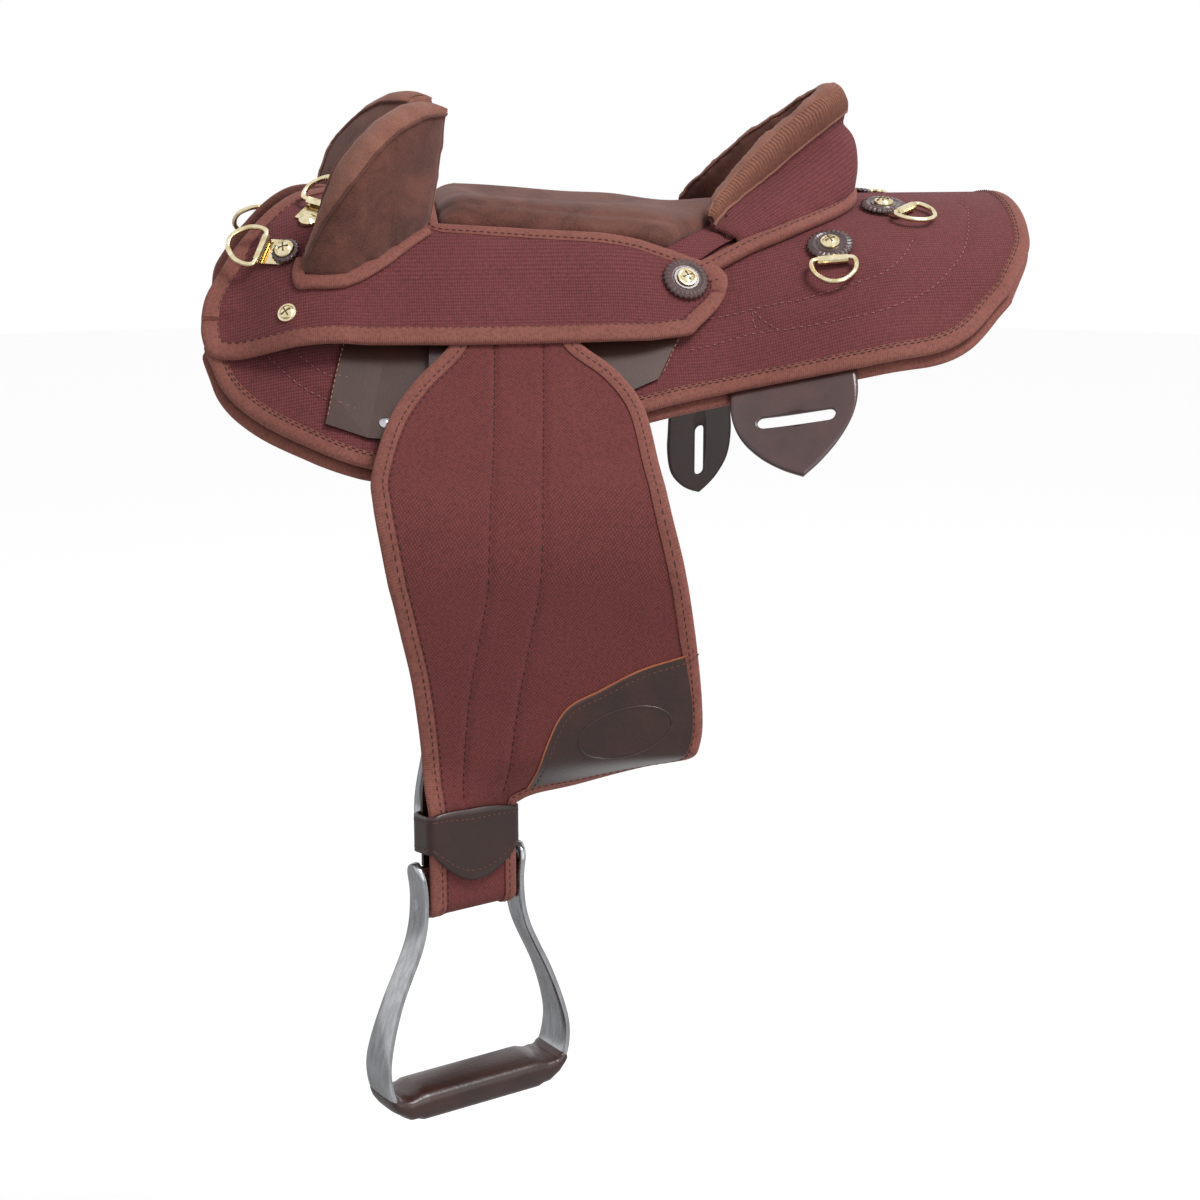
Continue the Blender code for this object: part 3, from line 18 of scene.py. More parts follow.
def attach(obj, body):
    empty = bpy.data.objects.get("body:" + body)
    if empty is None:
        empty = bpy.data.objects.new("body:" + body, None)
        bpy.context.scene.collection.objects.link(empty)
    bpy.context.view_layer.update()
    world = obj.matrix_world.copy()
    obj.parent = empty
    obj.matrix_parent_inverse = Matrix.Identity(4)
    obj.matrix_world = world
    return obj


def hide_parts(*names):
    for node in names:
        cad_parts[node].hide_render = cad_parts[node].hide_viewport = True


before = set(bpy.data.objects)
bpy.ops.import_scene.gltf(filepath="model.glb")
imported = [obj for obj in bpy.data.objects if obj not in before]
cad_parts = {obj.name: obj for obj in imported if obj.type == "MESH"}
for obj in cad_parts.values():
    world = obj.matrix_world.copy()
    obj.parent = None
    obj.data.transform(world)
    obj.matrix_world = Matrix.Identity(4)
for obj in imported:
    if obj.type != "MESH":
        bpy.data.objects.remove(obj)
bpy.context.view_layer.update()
SIDES = {"left": -1, "right": 1}

# %% [markdown]
# ## The form that carries everything
# The panels rest on a horse's back, so every layer follows one smooth form: narrow over the
# withers, broad under the seat, round over the loin. A place on it is given as it would be on a
# flat pattern: x runs rearward, s runs down the side from the ridge, and a height stands off it.
# One such map keeps all layers parallel, which would be hard to get by shaping each one alone.

# %% Small helpers for curves
def smooth(start, end, value):
    t = min(max((value - start) / (end - start), 0.0), 1.0)
    return t * t * (3.0 - 2.0 * t)


def mix(a, b, t):
    return a + (b - a) * t


def curve_through(points, count):
    """count + 1 points, evenly spaced along a smooth curve through the given points."""
    pts = [np.array(p, float) for p in points]
    ends = [2 * pts[0] - pts[1]] + pts + [2 * pts[-1] - pts[-2]]
    dense = []
    for k in range(len(pts) - 1):
        p0, p1, p2, p3 = ends[k:k + 4]
        for t in np.linspace(0.0, 1.0, 24, endpoint=False):
            dense.append(0.5 * (2 * p1 + (p2 - p0) * t + (2 * p0 - 5 * p1 + 4 * p2 - p3) * t ** 2
                                + (3 * p1 - p0 - 3 * p2 + p3) * t ** 3))
    dense.append(pts[-1])
    dense = np.array(dense)
    steps = np.r_[0.0, np.cumsum(np.linalg.norm(np.diff(dense, axis=0), axis=1))]
    wanted = np.linspace(0.0, steps[-1], count + 1)
    return np.stack([np.interp(wanted, steps, dense[:, k]) for k in range(dense.shape[1])], axis=1)


def level(height):
    """A height that is the same all over the pattern."""
    return lambda x, s: height


def at(curve, t):
    """A point of an evenly spaced curve, with t from 0 to 1."""
    place = min(max(t, 0.0), 1.0) * (len(curve) - 1)
    low = min(int(place), len(curve) - 2)
    return mix(curve[low], curve[low + 1], place - low)


def coons(top, bottom, front, rear):
    """The flat pattern between four edge curves, as a function of u rearward and v downward."""
    def place(u, v):
        corners = mix(mix(top[0], top[-1], u), mix(bottom[0], bottom[-1], u), v)
        return mix(at(top, u), at(bottom, u), v) + mix(at(front, v), at(rear, v), u) - corners
    return place


# %% The form itself, sampled once into a table
FLANK_ANGLE = math.radians(52.0)
REAR_FLANK_ANGLE = math.radians(56.0)
FRONT_CROWN_RADIUS = 0.100
SEAT_CROWN_RADIUS = 0.300
SEAT_CROWN_WIDTH = 0.060
SEAT_SHOULDER_RADIUS = 0.090
REAR_CROWN_RADIUS = 0.230
WITHER_RISE = 0.012
LOIN_RISE = 0.018
SEAT_SPINE_HEIGHT = -0.012


def form_angle(x, s):
    front = 1.0 - smooth(-0.31, -0.20, x)
    rear = smooth(0.08, 0.24, x)
    shoulder = min(s, SEAT_CROWN_WIDTH) / SEAT_CROWN_RADIUS
    shoulder += max(s - SEAT_CROWN_WIDTH, 0.0) / SEAT_SHOULDER_RADIUS
    return (front * min(s / FRONT_CROWN_RADIUS, FLANK_ANGLE)
            + rear * min(s / REAR_CROWN_RADIUS, REAR_FLANK_ANGLE)
            + (1.0 - front - rear) * min(shoulder, FLANK_ANGLE))


def spine_height(x):
    front = WITHER_RISE * (1.0 - smooth(-0.30, -0.18, x))
    return SEAT_SPINE_HEIGHT + front + LOIN_RISE * smooth(0.06, 0.24, x)


TABLE_START = -0.340
TABLE_STEP = 0.002


def section_of(x):
    s = np.arange(0.0, 0.44, TABLE_STEP)
    angle = np.array([form_angle(x, v) for v in s])
    run = (np.cos(angle[1:]) + np.cos(angle[:-1])) / 2 * TABLE_STEP
    fall = (np.sin(angle[1:]) + np.sin(angle[:-1])) / 2 * TABLE_STEP
    y = np.r_[0.0, np.cumsum(run)]
    z = spine_height(x) - np.r_[0.0, np.cumsum(fall)]
    return list(zip(angle.tolist(), y.tolist(), z.tolist()))


form_table = [section_of(TABLE_START + TABLE_STEP * k) for k in range(361)]
print("form table", len(form_table), "sections of", len(form_table[0]), "points")


def form_at(x, s):
    """Slope, sideways place and height of the form."""
    a = (x - TABLE_START) / TABLE_STEP
    b = min(s / TABLE_STEP, 217.0)
    i = min(max(int(a), 0), 359)
    j = int(b)
    a -= i
    b -= j
    near, far = form_table[i], form_table[i + 1]
    return [mix(mix(near[j][k], near[j + 1][k], b), mix(far[j][k], far[j + 1][k], b), a) for k in range(3)]


def on_form(x, s, height):
    """A point at a height above the form; a negative s lies on the near side."""
    angle, y, z = form_at(x, abs(s))
    side = -1.0 if s < 0 else 1.0
    return Vector((x, side * (y + height * math.sin(angle)), z + height * math.cos(angle)))


# %% Heights of the layers, in metres above the form
LAYER_GAP = 0.0006
PANEL_TOP = 0.012
FLAP_LOW = PANEL_TOP + LAYER_GAP
FLAP_TOP = FLAP_LOW + 0.003
SKIRT_LOW = FLAP_TOP + LAYER_GAP
SKIRT_TOP = SKIRT_LOW + 0.0055
ON_SKIRT = SKIRT_TOP + LAYER_GAP
RIGGING_TOP = ON_SKIRT + 0.0024
STRAP_LOW = ON_SKIRT + 0.0055 + LAYER_GAP
STRAP_TOP = STRAP_LOW + 0.003
FENDER_LOW = STRAP_TOP + LAYER_GAP
FENDER_THICKNESS = 0.004
FENDER_TOP = FENDER_LOW + FENDER_THICKNESS
JOCKEY_THICKNESS = 0.0045
BAR_EDGE = 0.128
POMMEL_REAR = -0.128


RAMP_START = 0.012
RAMP_ROUNDING = 0.015
RAMP_LENGTH = 0.095


def tree_lift(x):
    run = x - RAMP_START
    fall = max(run, 0.0) if abs(run) > RAMP_ROUNDING else (run + RAMP_ROUNDING) ** 2 / (4 * RAMP_ROUNDING)
    return smooth(-0.305, -0.235, x) * max(1.0 - fall / RAMP_LENGTH, 0.0)


def bend_ease(x):
    return 0.0012 * (1.0 - smooth(-0.218, -0.192, x)) + 0.0011 * smooth(0.045, 0.068, x)


def tree_top(x, s):
    flank = max(mix(SKIRT_TOP, FENDER_TOP, tree_lift(x)), ON_SKIRT + 0.0026) - 0.0003
    dish = smooth(0.020, 0.070, abs(s)) * smooth(-0.120, -0.090, x) + 1.0 - smooth(-0.120, -0.090, x)
    bump = 0.006 * (1.0 - smooth(0.0, 0.10, abs(s))) * (1.0 - smooth(-0.165, -0.118, x))
    return mix(ON_SKIRT + 0.0045, flank, dish) + bump


def jockey_low(x, s):
    flank = mix(SKIRT_TOP, FENDER_TOP, tree_lift(x)) + LAYER_GAP
    return max(flank, tree_top(x, s) + LAYER_GAP + 0.0003) if abs(s) < BAR_EDGE + 0.004 else flank


def jockey_top(x, s):
    return jockey_low(x, s) + JOCKEY_THICKNESS


# %% [markdown]
# ## Materials
# Each finish starts from what the real one is and how its surface was made. Colours are written
# as sRGB hex values, as they would be read off a swatch, and one function turns them to linear.
# Pattern sizes are in millimetres: cloth pieces carry a map named weave that holds their flat
# pattern in metres, so that a thread keeps its size and follows the cloth round every bend.

# %% Colour and node helpers
def colour(hex_code, alpha=1.0):
    parts = [int(hex_code[k:k + 2], 16) / 255.0 for k in (1, 3, 5)]
    return (*[v / 12.92 if v <= 0.04045 else ((v + 0.055) / 1.055) ** 2.4 for v in parts], alpha)


def add_node(tree, kind, inputs=None, **settings):
    """A node with its settings, and its inputs given as values or as sockets to link from."""
    made = tree.nodes.new(kind)
    for name, value in settings.items():
        setattr(made, name, value)
    for name, value in (inputs or {}).items():
        if isinstance(value, bpy.types.NodeSocket):
            tree.links.new(value, made.inputs[name])
        else:
            made.inputs[name].default_value = value
    return made


def new_material(name, roughness, metallic=0.0, **shader):
    """A Principled material; returns it with its node tree and its shader node."""
    made = bpy.data.materials.new(name)
    made.use_nodes = True
    tree = made.node_tree
    surface = tree.nodes["Principled BSDF"]
    surface.inputs["Roughness"].default_value = roughness
    surface.inputs["Metallic"].default_value = metallic
    for socket, value in shader.items():
        surface.inputs[socket.replace("_", " ")].default_value = value
    return made, tree, surface


def two_tones(tree, factor, dark, light, low=0.35, high=0.65):
    """A colour that runs from one tone to another as a pattern rises from low to high."""
    ramp = add_node(tree, "ShaderNodeValToRGB", {"Fac": factor})
    ramp.color_ramp.elements[0].position = low
    ramp.color_ramp.elements[0].color = colour(dark)
    ramp.color_ramp.elements[1].position = high
    ramp.color_ramp.elements[1].color = colour(light)
    return ramp.outputs["Color"]


# %% Woven cloth: cordura and binding tape
def woven(name, across_mm, along_mm, shades, roughness, bump_mm, turn=0.0, sheen=0.15):
    """Threads cross at right angles; shades are the deep, middle and raised thread tones."""
    made, tree, surface = new_material(name, roughness, Sheen_Weight=sheen, Sheen_Roughness=0.5)
    flat = add_node(tree, "ShaderNodeUVMap", uv_map="weave")
    place = add_node(tree, "ShaderNodeMapping",
                     {"Vector": flat.outputs["UV"], "Rotation": (0.0, 0.0, turn)})
    waves = []
    for direction, spacing in (("X", across_mm), ("Y", along_mm)):
        scale = 1000.0 / spacing / 3.1831
        waves.append(add_node(tree, "ShaderNodeTexWave", {
            "Vector": place.outputs["Vector"], "Scale": scale, "Distortion": 0.6, "Detail": 1.0,
            "Detail Scale": 2.0}, wave_type="BANDS", bands_direction=direction))
    weave = add_node(tree, "ShaderNodeMath", {0: waves[0].outputs["Fac"], 1: waves[1].outputs["Fac"]},
                     operation="MULTIPLY")
    where = add_node(tree, "ShaderNodeTexCoord")
    patches = add_node(tree, "ShaderNodeTexNoise", {"Vector": where.outputs["Object"], "Scale": 14.0,
                                                    "Detail": 5.0, "Roughness": 0.7})
    slubs = add_node(tree, "ShaderNodeTexNoise", {"Vector": where.outputs["Object"], "Scale": 420.0,
                                                  "Detail": 2.0})
    body = two_tones(tree, patches.outputs["Fac"], shades[0], shades[1], 0.3, 0.7)
    thread = add_node(tree, "ShaderNodeMix", {"Factor": weave.outputs["Value"], "A": body,
                                              "B": colour(shades[2])}, data_type="RGBA")
    fleck = two_tones(tree, slubs.outputs["Fac"], "#d2d2d2", "#ffffff", 0.25, 0.6)
    final = add_node(tree, "ShaderNodeMix", {"Factor": 1.0, "A": thread.outputs["Result"], "B": fleck},
                     data_type="RGBA", blend_type="MULTIPLY")
    relief = add_node(tree, "ShaderNodeBump", {"Height": weave.outputs["Value"], "Strength": 0.6,
                                               "Distance": bump_mm * 0.001})
    tree.links.new(final.outputs["Result"], surface.inputs["Base Color"])
    tree.links.new(relief.outputs["Normal"], surface.inputs["Normal"])
    return made


# The real cordura has threads every 0.6 mm, finer than one pixel here, so they are drawn wider.
CORDURA_THREAD_MM = 1.9
cordura = woven("cordura, woven burgundy nylon", CORDURA_THREAD_MM, CORDURA_THREAD_MM * 1.5,
                ("#64292d", "#733538", "#8c4a4c"), 0.90, 0.35, sheen=0.05)
cordura_fender = woven("cordura, fine twill of the fenders", CORDURA_THREAD_MM, CORDURA_THREAD_MM,
                       ("#672c2c", "#733434", "#8b4a46"), 0.90, 0.30,
                       turn=math.radians(35.0), sheen=0.05)
tape = woven("binding tape, brown grosgrain", 1.7, 40.0, ("#844a40", "#95594e", "#aa6f62"), 0.85, 0.30,
             sheen=0.05)
ribbed = woven("ribbed tape on the cantle roll", 2.6, 60.0, ("#6a3c30", "#7a4839", "#a36f59"), 0.88, 0.5,
               sheen=0.05)
print("woven finishes ready")


# %% Suede, leather, fleece and metal
def napped(name, dark, light, patch_scale=26.0, grain=900.0, bump_mm=0.35, sheen=0.35):
    """Suede or fleece: soft patches where the nap lies another way, over a fine grain."""
    made, tree, surface = new_material(name, 0.95, Sheen_Weight=sheen, Sheen_Roughness=0.6)
    where = add_node(tree, "ShaderNodeTexCoord")
    patches = add_node(tree, "ShaderNodeTexNoise", {"Vector": where.outputs["Object"], "Scale": patch_scale,
                                                    "Detail": 6.0, "Roughness": 0.65, "Distortion": 0.8})
    nap = add_node(tree, "ShaderNodeTexNoise",
                   {"Vector": where.outputs["Object"], "Scale": grain, "Detail": 3.0})
    both = add_node(tree, "ShaderNodeMix", {"Factor": 0.42, "A": patches.outputs["Fac"],
                                            "B": nap.outputs["Fac"]}, data_type="FLOAT")
    shade = two_tones(tree, both.outputs["Result"], dark, light, 0.36, 0.64)
    relief = add_node(tree, "ShaderNodeBump", {"Height": nap.outputs["Fac"], "Strength": 0.5,
                                               "Distance": bump_mm * 0.001})
    tree.links.new(shade, surface.inputs["Base Color"])
    tree.links.new(relief.outputs["Normal"], surface.inputs["Normal"])
    return made


def tanned(name, dark, light, roughness, grain_mm=1.6, bump_mm=0.12, coat=0.3):
    """Smooth leather: pebbled cells with fine creases, and a wax coat that gives the gloss."""
    made, tree, surface = new_material(name, roughness, Coat_Weight=coat, Coat_Roughness=0.25)
    where = add_node(tree, "ShaderNodeTexCoord")
    cells = add_node(tree, "ShaderNodeTexVoronoi", {"Vector": where.outputs["Object"],
                                                    "Scale": 1000.0 / grain_mm}, feature="SMOOTH_F1")
    wear = add_node(tree, "ShaderNodeTexNoise", {"Vector": where.outputs["Object"], "Scale": 22.0,
                                                 "Detail": 6.0, "Roughness": 0.7})
    shade = two_tones(tree, wear.outputs["Fac"], dark, light, 0.35, 0.72)
    relief = add_node(tree, "ShaderNodeBump", {"Height": cells.outputs["Distance"], "Strength": 0.5,
                                               "Distance": bump_mm * 0.001})
    tree.links.new(shade, surface.inputs["Base Color"])
    tree.links.new(relief.outputs["Normal"], surface.inputs["Normal"])
    return made


def metal(name, tone, bright, roughness, scratch_scale, stretch):
    """Polished metal with fine handling marks; stretch lengthens them along Z."""
    made, tree, surface = new_material(name, roughness, 1.0)
    where = add_node(tree, "ShaderNodeTexCoord")
    place = add_node(tree, "ShaderNodeMapping", {"Vector": where.outputs["Object"],
                                                 "Scale": (scratch_scale, scratch_scale,
                                                           scratch_scale / stretch)})
    marks = add_node(tree, "ShaderNodeTexNoise", {"Vector": place.outputs["Vector"], "Scale": 1.0,
                                                  "Detail": 5.0, "Roughness": 0.6})
    shade = two_tones(tree, marks.outputs["Fac"], tone, bright, 0.35, 0.65)
    rough = add_node(tree, "ShaderNodeMapRange", {"Value": marks.outputs["Fac"], "To Min": roughness * 0.7,
                                                  "To Max": roughness * 1.5})
    tree.links.new(shade, surface.inputs["Base Color"])
    tree.links.new(rough.outputs["Result"], surface.inputs["Roughness"])
    return made


def plain(name, tone, roughness):
    """One even tone, for pieces too small to show a pattern."""
    made, _, surface = new_material(name, roughness)
    surface.inputs["Base Color"].default_value = colour(tone)
    return made


suede = napped("suede, brushed brown split hide", "#4e2820", "#7d4c3f", sheen=0.15)
suede_light = napped("suede, lighter gusset strip", "#7a493b", "#a36f5e", sheen=0.15)
fleece = napped("fleece, brown wool pile", "#4f2b22", "#7a4a3c", 60.0, 500.0, 1.2, 0.5)
strap_leather = tanned("leather, stirrup strap with brown edge", "#27110c", "#3a1a13", 0.42)
plate_leather = tanned("leather, brown rigging plate", "#341a12", "#4a281c", 0.50, coat=0.15)
flap_leather = tanned("leather, glossy plum brown flap", "#3a1f1d", "#563231", 0.30, coat=0.6)
cover_leather = tanned("leather, soft creased tread cover", "#2a130f", "#43221a", 0.34, 2.2, 0.3, 0.4)
cut_edge = tanned("leather, raw cut edge", "#a45a3c", "#bd7350", 0.75, coat=0.0)
brass = metal("brass, polished and lacquered", "#d3c193", "#f0e6c6", 0.17, 160.0, 1.0)
aluminium = metal("aluminium, cast and polished", "#a3a4a8", "#bdbec2", 0.24, 260.0, 6.0)
steel = metal("steel, bright nickel plate", "#a9abb0", "#c9cbd0", 0.22, 200.0, 1.0)
dark_thread = plain("thread, waxed dark brown", "#3c1a17", 0.7)
pale_thread = plain("thread, waxed pale brown", "#a87a6c", 0.65)
plum_thread = plain("thread, bonded plum nylon", "#a06a6a", 0.6)
brown_thread = plain("thread, waxed mid brown", "#6b4034", 0.65)
slot_shadow = plain("brass, shaded slot of a screw", "#6a5630", 0.6)
moulded = tanned("nylon, moulded tree with a fine texture", "#2a1416", "#3a1e20", 0.6, 0.9, 0.1, 0.0)
print("finishes", len(bpy.data.materials))

# %% [markdown]
# ## From a flat pattern to a piece of cloth
# A sheet could be modelled by hand, bend by bend. Here it starts as a flat bmesh grid, each point
# is moved to its place on the pattern and then onto the form, and a Solidify modifier gives the
# cloth its thickness. The flat place is kept in the weave map for the threads.

# %% Build and file pieces
def file_piece(name, bm, material, body, smooth_angle=35.0, replaces=()):
    """Turn a bmesh into a finished piece that rides on a body."""
    mesh = bpy.data.meshes.new(name)
    bm.to_mesh(mesh)
    bm.free()
    mesh.materials.append(material)
    piece = bpy.data.objects.new(name, mesh)
    bpy.context.scene.collection.objects.link(piece)
    for polygon in mesh.polygons:
        polygon.use_smooth = True
    mesh.set_sharp_from_angle(angle=math.radians(smooth_angle))
    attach(piece, body)
    if replaces:
        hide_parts(*replaces)
    return piece


def dress(node, material):
    """Give a shown node of the solid model its finish."""
    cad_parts[node].data.materials.clear()
    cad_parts[node].data.materials.append(material)


def thicken(piece, thickness):
    """Give a sheet its thickness, inward from the face that was laid."""
    wall = piece.modifiers.new("thickness", "SOLIDIFY")
    wall.thickness = thickness
    wall.offset = -1.0
    return piece


def lay_grid(bm, columns, rows, plan, surface, flat_size=(1.0, 1.0)):
    """Add a grid to a bmesh, moved to plan(u, v) on the flat pattern and from there onto a surface."""
    weave = bm.loops.layers.uv.get("weave") or bm.loops.layers.uv.new("weave")
    made = bmesh.ops.create_grid(bm, x_segments=columns, y_segments=rows, size=0.5)["verts"]
    flat = {}
    for vert in made:
        place = plan(vert.co.x + 0.5, vert.co.y + 0.5)
        flat[vert] = (float(place[0]), float(place[1]))
        vert.co = surface(*flat[vert])
    for face in {face for vert in made for face in vert.link_faces}:
        for loop in face.loops:
            x, s = flat[loop.vert]
            loop[weave].uv = (x * flat_size[0], s * flat_size[1])


def face_out(bm, surface, spot):
    """Turn an open sheet's faces so that they look along rising height at a spot of the pattern."""
    here = surface(*spot)
    up = surface(*spot[:2], spot[2] + 0.001) - here
    bmesh.ops.recalc_face_normals(bm, faces=bm.faces)
    nearest = min(bm.faces, key=lambda f: (f.calc_center_median() - here).length)
    if nearest.normal.dot(up) < 0:
        bmesh.ops.reverse_faces(bm, faces=bm.faces)


def cloth_piece(name, grids, surface, height, thickness, material, body, replaces=(),
                flat_size=(1.0, 1.0)):
    """A sheet of even thickness over one or more grids; surface(x, s, height) is its outer face."""
    bm = bmesh.new()
    for columns, rows, plan in grids:
        lay_grid(bm, columns, rows, plan, lambda x, s: surface(x, s, height(x, s)), flat_size)
    bmesh.ops.remove_doubles(bm, verts=bm.verts, dist=0.00001)
    x, s = (float(v) for v in grids[-1][2](0.5, 0.5))
    face_out(bm, surface, (x, s, height(x, s)))
    return thicken(file_piece(name, bm, material, body, replaces=replaces), thickness)


def pressed(paths, depth, width):
    """How far a stitched row presses the cloth in, from the distance to the rows on the pattern."""
    points = np.concatenate([curve_through(path, 220) for path in paths])
    tree = KDTree(len(points))
    for k, (x, s) in enumerate(points):
        tree.insert((x, s, 0.0), k)
    tree.balance()
    return lambda x, s: depth * math.exp(-(tree.find((x, s, 0.0))[2] / width) ** 2)


# %% [markdown]
# ## Binding and stitching
# Tape is folded round each raw edge and sewn down. It could be a bevelled curve, but a folded tape
# has a flat face and its own thread direction, so a grid is wrapped round the edge: u runs along
# it and v goes round the fold. Stitches are real little threads, because bump alone goes flat.

# %% Tape round an edge
def lengths_along(path):
    return np.r_[0.0, np.cumsum(np.linalg.norm(np.diff(np.array(path), axis=0), axis=1))]


TAPE_UNDER = 0.7


def binding(name, path, inward, surface, low, high, width, body, proud=0.0009):
    """Tape along a path of the flat pattern; inward is +1 or -1 for the cloth's side of the path."""
    path = np.array(path, float)
    steps = lengths_along(path)
    count = len(path)
    widths = np.broadcast_to(width, count)
    tangent = np.gradient(path, axis=0)
    tangent /= np.linalg.norm(tangent, axis=1)[:, None] + 1e-12
    across = np.stack([-tangent[:, 1], tangent[:, 0]], axis=1) * inward

    def section(k):
        lo, hi, width = low(*path[k]), high(*path[k]), widths[k]
        middle = (lo + hi) / 2
        reach = (hi - lo) / 2 + proud
        return [(width, hi - 0.0002), (width, hi + proud * 0.55), (width * 0.93, hi + proud * 0.85),
                (width * 0.60, hi + proud * 1.1), (width * 0.25, hi + proud * 1.05),
                (0.0, middle + reach * 0.80), (-0.0010, middle + reach * 0.45), (-0.0013, middle),
                (-0.0010, middle - reach * 0.45), (0.0, middle - reach * 0.75),
                (width * 0.3, lo - proud * 0.35), (width * TAPE_UNDER, lo - proud * 0.25),
                (width * TAPE_UNDER, lo + 0.0002)]

    sections = [section(k) for k in range(count)]
    rows = len(sections[0])
    bm = bmesh.new()
    bmesh.ops.create_grid(bm, x_segments=count - 1, y_segments=rows, size=0.5)
    weave = bm.loops.layers.uv.new("weave")
    flat = {}
    for vert in bm.verts:
        k = round((vert.co.x + 0.5) * (count - 1))
        j = round((vert.co.y + 0.5) * rows)
        inside, height = sections[k][j % rows]
        x, s = path[k] + across[k] * inside
        flat[vert] = (steps[k], j * 0.002)
        vert.co = surface(x, s, height)
    for face in bm.faces:
        for loop in face.loops:
            loop[weave].uv = flat[loop.vert]
    bmesh.ops.remove_doubles(bm, verts=bm.verts, dist=0.00001)
    bmesh.ops.holes_fill(bm, edges=bm.edges, sides=rows + 2)
    bmesh.ops.recalc_face_normals(bm, faces=bm.faces)
    return file_piece(name, bm, tape, body, 50.0)


# %% Rows of stitches
def stitches(name, rows, surface, body, material, pitch=0.0050, length=0.0034, radius=0.00055, lift=0.0002):
    """rows are (path on the flat pattern, height function); one small bead of thread per stitch."""
    bm = bmesh.new()
    made = 0
    for path, height in rows:
        path = np.array(path, float)
        steps = lengths_along(path)
        count = max(int(steps[-1] / pitch), 1)
        for k in range(count):
            middle = (k + 0.5) * pitch
            ends = [[np.interp(middle + d, steps, path[:, n]) for n in (0, 1)]
                    for d in (-length / 2, length / 2)]
            a, b = (surface(x, s, height(x, s) + lift) for x, s in ends)
            x, s = ends[0]
            along = (b - a).normalized()
            up = surface(x, s, height(x, s) + 0.002) - surface(x, s, height(x, s))
            across = up.cross(along).normalized()
            up = along.cross(across)
            turn = Matrix((along, across, up)).transposed().to_4x4()
            size = Matrix.Diagonal(((b - a).length / 2, radius, radius * 0.9, 1.0))
            bmesh.ops.create_uvsphere(bm, u_segments=6, v_segments=4, radius=1.0,
                                      matrix=Matrix.Translation((a + b) / 2) @ turn @ size
                                      @ Matrix.Rotation(math.pi / 2, 4, "Y"))
            made += 1
    print(name, made, "stitches")
    return file_piece(name, bm, material, body, 80.0)


def offset_path(path, distance):
    """The same path, moved sideways on the flat pattern."""
    path = np.array(path, float)
    tangent = np.gradient(path, axis=0)
    tangent /= np.linalg.norm(tangent, axis=1)[:, None] + 1e-12
    return path + np.stack([-tangent[:, 1], tangent[:, 0]], axis=1) * distance


# %% Close a loft through sections of equal count
def loft(rings, caps=True):
    """A closed skin through rings of points; the ends are capped with one face each."""
    bm = bmesh.new()
    columns = len(rings) - 1
    rows = len(rings[0])
    bmesh.ops.create_grid(bm, x_segments=columns, y_segments=rows, size=0.5)
    weave = bm.loops.layers.uv.new("weave")
    around = np.r_[0.0, np.cumsum([(rings[0][(j + 1) % rows] - rings[0][j]).length for j in range(rows)])]
    along = np.r_[0.0, np.cumsum([(rings[k + 1][0] - rings[k][0]).length for k in range(columns)])]
    flat = {}
    for vert in bm.verts:
        k = round((vert.co.x + 0.5) * columns)
        j = round((vert.co.y + 0.5) * rows)
        flat[vert] = (along[k], around[j])
        vert.co = rings[k][j % rows]
    for face in bm.faces:
        for loop in face.loops:
            loop[weave].uv = flat[loop.vert]
    bmesh.ops.remove_doubles(bm, verts=bm.verts, dist=0.00001)
    if caps:
        bmesh.ops.holes_fill(bm, edges=bm.edges, sides=rows + 2)
    bmesh.ops.recalc_face_normals(bm, faces=bm.faces)
    return bm


PUFF_PRESSURE = 4.0
PUFF_FRAMES = 20
HOLD_HEIGHT = 0.015


